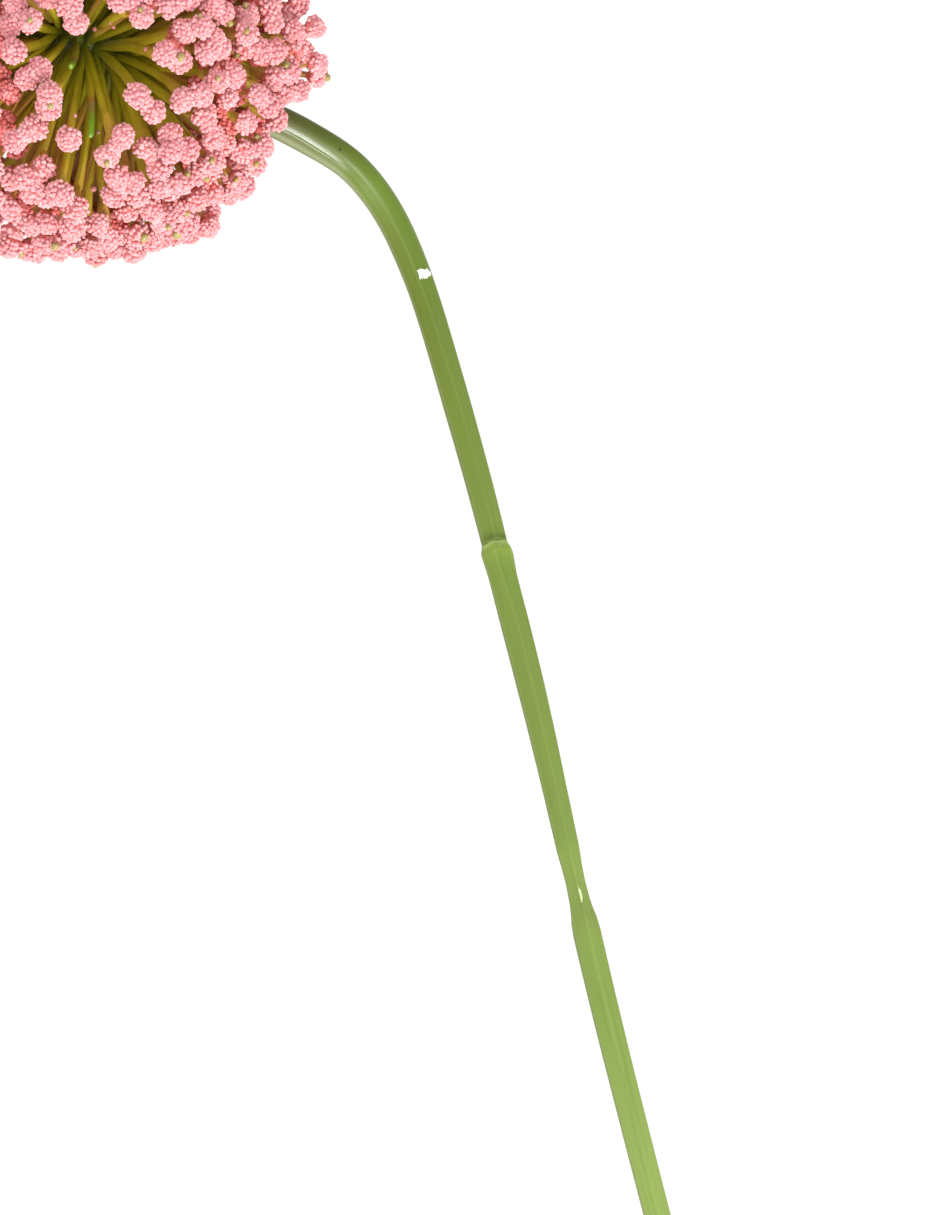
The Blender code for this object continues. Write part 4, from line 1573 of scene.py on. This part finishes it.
    def swept_ray(
        self,
        work: BMesh,
        path: Sequence[Vector],
        widths: Sequence[float],
        alongs: Sequence[float],
        twist: float = 0.0,
    ) -> None:
        """Adds a flattened ray along a path.

        Args:
            work: The mesh to add to.
            path: Points along the ray.
            widths: Half its width at each point.
            alongs: The mark along it at each point.
            twist: How far its flat sides are turned about it.
        """
        axis = self.plan.axis()
        stations = []
        for k, (point, width, along) in enumerate(zip(path, widths, alongs)):
            ahead = (path[min(k + 1, len(path) - 1)] - path[max(k - 1, 0)]).normalized()
            side = axis.cross(ahead)
            if side.length < 0.15:
                side = ahead.orthogonal()
            side = Matrix.Rotation(twist, 3, ahead) @ side.normalized()
            place = facing(point, side, ahead)
            stations.append(Station(place, width, width * self.flatness, along))
            self.line.append((point, width))
        sweep(work, stations, self.ray_sides, oval)

    def add_ray(self, work: BMesh, cluster: Cluster, draw: random.Random) -> None:
        """Adds a ray from the hub to a cluster's fork, and a branch to each of its lobes.

        Args:
            work: The mesh to add to.
            cluster: The cluster that the ray carries, or a bare tip.
            draw: The source of the draws.
        """
        hub, axis = self.plan.hub_middle(self.index), self.plan.axis()
        forked = len(cluster.lobes) > 1
        outward = cluster.middle - hub
        outward = (outward - axis * outward.dot(axis)).normalized()
        root = hub + outward * (self.hub_radius - self.root_depth)
        run = cluster.middle - root
        back = self.fork_back * draw.uniform(0.85, 1.15) if forked else self.lobe_back
        end = root + run * (1.0 - back / run.length) if cluster.lobes else cluster.middle
        bow = outward * run.length * draw.uniform(*self.bow_outward)
        bow += axis * run.length * draw.uniform(-self.bow_front, self.bow_front)
        bow += axis.cross(outward) * run.length * draw.uniform(-self.bow_aside, self.bow_aside)
        swell = draw.uniform(*self.size_limits)
        shape = (
            (0.0, self.root_half_width),
            (0.06, self.root_half_width * 0.9),
            (0.25, self.root_half_width * 1.12),
            (0.5, self.ray_half_width),
            (0.8, self.ray_half_width * 1.1),
            (1.0, self.fork_half_width if forked else self.ray_half_width),
        )
        path = [root.lerp(end, t) + bow * 4 * t * (1 - t) for t, _ in shape]
        widths = [width * swell * draw.uniform(*self.point_limits) for _, width in shape]
        alongs = [0.08 + 0.82 * t for t, _ in shape]
        if cluster.lobes:
            path.append(end + run.normalized() * 0.9 * MM)
            widths.append(widths[-1] * 0.7)
            alongs.append(0.9)
        else:
            path.append(end + run.normalized() * 0.3 * MM)
            widths[-2:] = [self.tip_half_width * share for share in (1.1, 1.0, 0.6)]
            alongs[-2:] = [1.75, 1.95, 1.95]
        self.swept_ray(work, path, widths, alongs, draw.uniform(-self.twist, self.twist))
        for k in range(len(cluster.lobes)):
            self.add_branch(work, cluster, k, end, draw)

    def add_branch(
        self, work: BMesh, cluster: Cluster, k: int, fork: Vector, draw: random.Random
    ) -> None:
        """Adds a branch from a fork into a lobe, and the nubs where tips poke out of the lobe.

        Args:
            work: The mesh to add to.
            cluster: The lobe's cluster.
            k: Which of its lobes.
            fork: Where the branch starts.
            draw: The source of the draws.
        """
        lobe = cluster.lobes[k]
        run = lobe - fork
        bend = (lobe - cluster.middle) * self.branch_bend
        width = self.branch_half_width * draw.uniform(*self.size_limits)
        start = fork - run.normalized() * self.branch_overlap
        path = [start, fork + run * 0.25 + bend, fork + run * 0.6 + bend, lobe]
        widths = [width * share for share in (1.2, 1.2, 1.0, 0.9)]
        self.swept_ray(work, path, widths, (0.85, 0.92, 0.98, 1.0))
        for way, radius in cluster.nubs.get(k, []):
            out = self.ball_radius + draw.uniform(-0.05, 0.3) * MM
            outs = (0.0, out - 0.8 * MM, out - 0.25 * MM, out, out + 0.14 * MM)
            path = [lobe + way * at for at in outs]
            widths = [radius * share for share in (0.7, 0.95, 1.0, 0.78, 0.35)]
            self.swept_ray(work, path, widths, (1.1, 1.25, 1.3, 1.35, 1.35))


def lay_loose_beads(plan: HeadPlan, rosettes: Sequence[Rosette], penalty: float = 40.0) -> None:
    """Lays the loose beads on the rays on which they are seen.

    Args:
        plan: The head's plan.
        rosettes: The rosettes, whose rays are made; each gets the beads that lie on it.
        penalty: How much farther off a ray counts for its distance beside the line of sight.
    """
    owners = [rosette for rosette in rosettes for _ in rosette.line]
    points = np.array([point - plan.centre for rosette in rosettes for point, _ in rosette.line])
    widths = np.array([width for rosette in rosettes for _, width in rosette.line])
    eye = np.array(plan.near.eye)
    sights = plan.near.sights(np.array(LOOSE_BEADS)[:, :2] * MM)
    for (_, _, size), sight in zip(LOOSE_BEADS, sights):
        ahead, aside = plan.near.passing(points, sight)
        best = int(np.argmin(ahead + penalty * np.maximum(aside - widths, 0.0)))
        place = eye + sight * (ahead[best] - widths[best] * 0.7 - size * 0.6 * MM)
        lift = place - points[best]
        touching = widths[best] * 0.8 + size * 0.7 * MM
        place = points[best] + lift * min(1.0, touching / float(np.linalg.norm(lift)))
        owners[best].loose.append((plan.centre + Vector(place), size * MM))


# The stem


@dataclass
class Stem:
    """The two stem mouldings, plugged into each other, and the wire that holds their bend."""

    route: Route
    sides: int = 36
    corner_turns: Table = (
        (72.0, 20.0), (125.0, -5.0), (158.9, -5.0), (159.05, 10.0), (163.0, 9.0), (178.0, -3.0),
    )
    corner_pull: float = 0.6
    round_until: float = 130.0 * MM
    round_fade: float = 55.0 * MM
    round_share: float = 0.6
    round_reach: float = 0.985
    flat_reach: float = math.cos(math.radians(24.5))
    corner_blend: float = 0.025
    width_per_radius: float = 1.97
    ring_spacing: float = 1.3 * MM
    wire_radius: float = 0.8 * MM
    wire_start: float = -12.0 * MM
    wire_rings: int = 220
    wire_sides: int = 14
    sharp_from: float = math.radians(40.0)
    end: float = 335.0 * MM
    upper_widths: Table = (
        (12.6, 3.8), (15.0, 4.4), (22.0, 5.4), (36.0, 7.2), (51.0, 7.3), (70.0, 6.95), (85.0, 6.65),
        (100.0, 6.35), (122.0, 6.1), (144.0, 5.8), (158.9, 5.55),
    )
    spigot: Table = ((158.95, 4.2), (163.0, 4.2))
    socket: Table = ((162.4, 4.9), (159.4, 4.9), (159.1, 5.2))
    lower_widths: Table = (
        (159.05, 5.65), (159.3, 6.0), (161.0, 6.98), (161.5, 7.02), (163.0, 6.78), (166.0, 6.45),
        (172.0, 6.25), (190.0, 6.0), (200.0, 5.7), (218.0, 5.15), (228.5, 4.9), (232.5, 4.4),
        (236.0, 4.15), (240.5, 4.45), (243.0, 5.0), (244.6, 5.6), (247.5, 5.95), (264.0, 5.8),
        (286.0, 5.6), (308.0, 5.45), (335.0, 5.45),
    )

    def corner_turn(self, along: float) -> float:
        """The angle of the section's first corner, which changes as the stem twists.

        Args:
            along: The distance along the stem.

        Returns:
            The angle from the section's top.
        """
        ends = [self.corner_turns[0], *self.corner_turns, self.corner_turns[-1]]
        for (low, first), (high, second) in zip(ends, ends[1:]):
            if along <= high * MM:
                share = (along / MM - low) / (high - low) if high > low else 0.0
                return math.radians(first + (second - first) * share)
        return math.radians(ends[-1][1])

    def outline(self, turn: float, along: float) -> Pair:
        """The section: a hexagon with rounded corners, which is rounder towards the head.

        Args:
            turn: The angle from the section's top; near a corner the points are drawn together.
            along: The distance along the stem.

        Returns:
            The unit section's point.
        """
        sixth = math.tau / 6
        off = (turn - self.corner_turn(along) + sixth / 2) % sixth - sixth / 2
        shift = self.corner_pull * sixth / math.tau * math.sin(off * math.tau / sixth)
        off, turn = off - shift, turn - shift
        flat = self.flat_reach / math.cos(sixth / 2 - abs(off))
        reach = min(flat, 1.0)
        reach -= self.corner_blend * math.exp(-abs(flat - 1.0) / self.corner_blend) * 0.35
        fade = min(max((self.round_until - along) / self.round_fade, 0.0), 1.0)
        reach += (self.round_reach - reach) * self.round_share * fade
        return math.sin(turn) * reach, math.cos(turn) * reach

    def stations(self, table: Sequence[Pair]) -> Iterator[Station]:
        """Sections along a table of (distance, width) in millimetres.

        Args:
            table: The table, which may run back as well as on.

        Yields:
            Stations no more than the ring spacing apart.
        """
        for (low, first), (high, second) in zip(table, table[1:]):
            count = max(1, round(abs(high - low) * MM / self.ring_spacing))
            for step in range(count):
                share = step / count
                smooth = share * share * (3.0 - 2.0 * share) if abs(high - low) > 8.0 else share
                distance = (low + (high - low) * share) * MM
                radius = (first + (second - first) * (0.5 * share + 0.5 * smooth)) * MM
                radius /= self.width_per_radius
                yield Station(self.route.place(distance), radius, radius, distance)
        distance, width = table[-1]
        radius = width * MM / self.width_per_radius
        yield Station(self.route.place(distance * MM), radius, radius, distance * MM)

    def build(self, plastic: Material, steel: Material) -> None:
        """Makes the three pieces.

        Args:
            plastic: The stem's material.
            steel: The wire's material.
        """
        mouldings = {
            "stem_upper": (*self.upper_widths, *self.spigot),
            "stem_lower": (*self.socket, *self.lower_widths),
        }
        for node, table in mouldings.items():
            work = new_swept_mesh()
            sweep(work, list(self.stations(table)), self.sides, self.outline)
            mesh = mesh_of(work, f"{node}_moulding", self.sharp_from)
            finish_piece(mesh, plastic, Slot.STEM, node)
        work = new_swept_mesh()
        run, radius = self.end - self.wire_start, self.wire_radius
        places = [self.wire_start + run * k / self.wire_rings for k in range(self.wire_rings + 1)]
        rings = [Station(self.route.place(at), radius, radius, at) for at in places]
        sweep(work, rings, self.wire_sides, oval)
        mesh = mesh_of(work, "bent_steel_wire", self.sharp_from)
        finish_piece(mesh, steel, Slot.WIRE, "stem_wire")


# The studio


@dataclass(frozen=True)
class Softbox:
    """A rectangular light that faces the flower.

    Attributes:
        name: Its name.
        place: Where it hangs.
        sizes: Its width and its height.
        power: Its power in watts.
    """

    name: str
    place: Triple
    sizes: Pair
    power: float

    def build(self, aim: Triple) -> None:
        """Hangs it in the studio.

        Args:
            aim: The place that it faces.
        """
        light = bpy.data.lights.new(self.name, "AREA")
        light.shape = "RECTANGLE"
        light.size, light.size_y = self.sizes
        light.energy = self.power
        lamp = put_in_scene(self.name, light)
        lamp.location = self.place
        way = Vector(aim) - Vector(self.place)
        lamp.rotation_euler = way.to_track_quat("-Z", "Y").to_euler()
        lamp.visible_camera = False


@dataclass
class Studio:
    """White paper, a bright room, soft boxes and the camera that looks down on the flower."""

    camera_place: Triple = (39.39 * MM, -501.07 * MM, 1081.54 * MM)
    camera_tilt: float = math.radians(25.0)
    lens: float = 170.67
    sensor: float = 36.0
    aim: Triple = (0.0, 0.06, 0.03)
    room_colour: str = "#F6F8FF"
    room_light: float = 0.85
    softboxes: tuple[Softbox, ...] = (
        Softbox("front_right_softbox", (0.45, -0.93, 0.25), (0.85, 0.38), 12.2),
        Softbox("camera_softbox", (0.15, -0.5, 1.15), (0.8, 0.8), 4.8),
        Softbox("overhead_softbox", (0.1, 0.0, 1.6), (1.0, 1.0), 2.5),
        Softbox("low_front_strip", (0.12, -0.9, 0.13), (1.0, 0.18), 6.0),
        Softbox("left_softbox", (-0.85, -0.25, 0.4), (0.9, 0.4), 1.2),
    )

    def build(self, paper: Material) -> None:
        """Makes the floor, the world, the lights and the camera.

        Args:
            paper: The floor's material.
        """
        work = bmesh.new()
        bmesh.ops.create_grid(work, x_segments=2, y_segments=2, size=3.0)
        floor = put_in_scene("paper_floor", mesh_of(work, "paper_floor"))
        floor.data.materials.append(paper)
        floor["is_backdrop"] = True
        world = bpy.data.worlds.new("bright_room")
        bpy.context.scene.world = world
        world.use_nodes = True
        room = {"Color": linear(self.room_colour), "Strength": self.room_light}
        feed(world.node_tree, world.node_tree.nodes["Background"], room)
        for softbox in self.softboxes:
            softbox.build(self.aim)
        self.add_camera()

    def add_camera(self) -> None:
        """Adds the camera at the photograph's angle."""
        camera = bpy.data.cameras.new("camera")
        camera.lens = self.lens
        camera.sensor_width = self.sensor
        camera.clip_end = 20.0
        rig = put_in_scene("camera", camera)
        rig.location = self.camera_place
        rig.rotation_euler = (self.camera_tilt, 0.0, 0.0)
        bpy.context.scene.camera = rig


def write_sizes() -> None:
    """Makes plain lists of the solids' box and the dressed object's box."""
    boxes = {"cad": CAD_BOX, "visual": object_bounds()}
    plain = {name: [list(corner) for corner in box] for name, box in boxes.items()}


def main() -> None:
    """Builds the flower and the studio round it, in order."""
    logging.basicConfig(level=logging.INFO, format="%(name)s: %(message)s")
    bpy.context.scene.view_settings.view_transform = "Standard"
    route = Route()
    plan = HeadPlan(route)
    beads, rays = BeadedFoam().build(), RayPlastic().build()
    stem_plastic, steel = StemPlastic().build(), DrawnSteel().build()
    clusters = plan.clusters()
    LOG.info("fillers: %d", plan.add_fillers(clusters))
    plan.add_nubs(clusters)
    plan.add_tips(clusters)
    everyone = np.array([lobe for group in clusters for cluster in group for lobe in cluster.lobes])
    LOG.info("lobes: %d", len(everyone))
    rosettes = [Rosette(plan, index, group, everyone) for index, group in enumerate(clusters)]
    for rosette in rosettes:
        rosette.build_rays(rays)
    lay_loose_beads(plan, rosettes)
    for rosette in rosettes:
        rosette.build_beads(beads)
    Stem(route).build(stem_plastic, steel)
    Studio().build(StudioPaper().build())
    write_sizes()


if __name__ == "__main__":
    main()
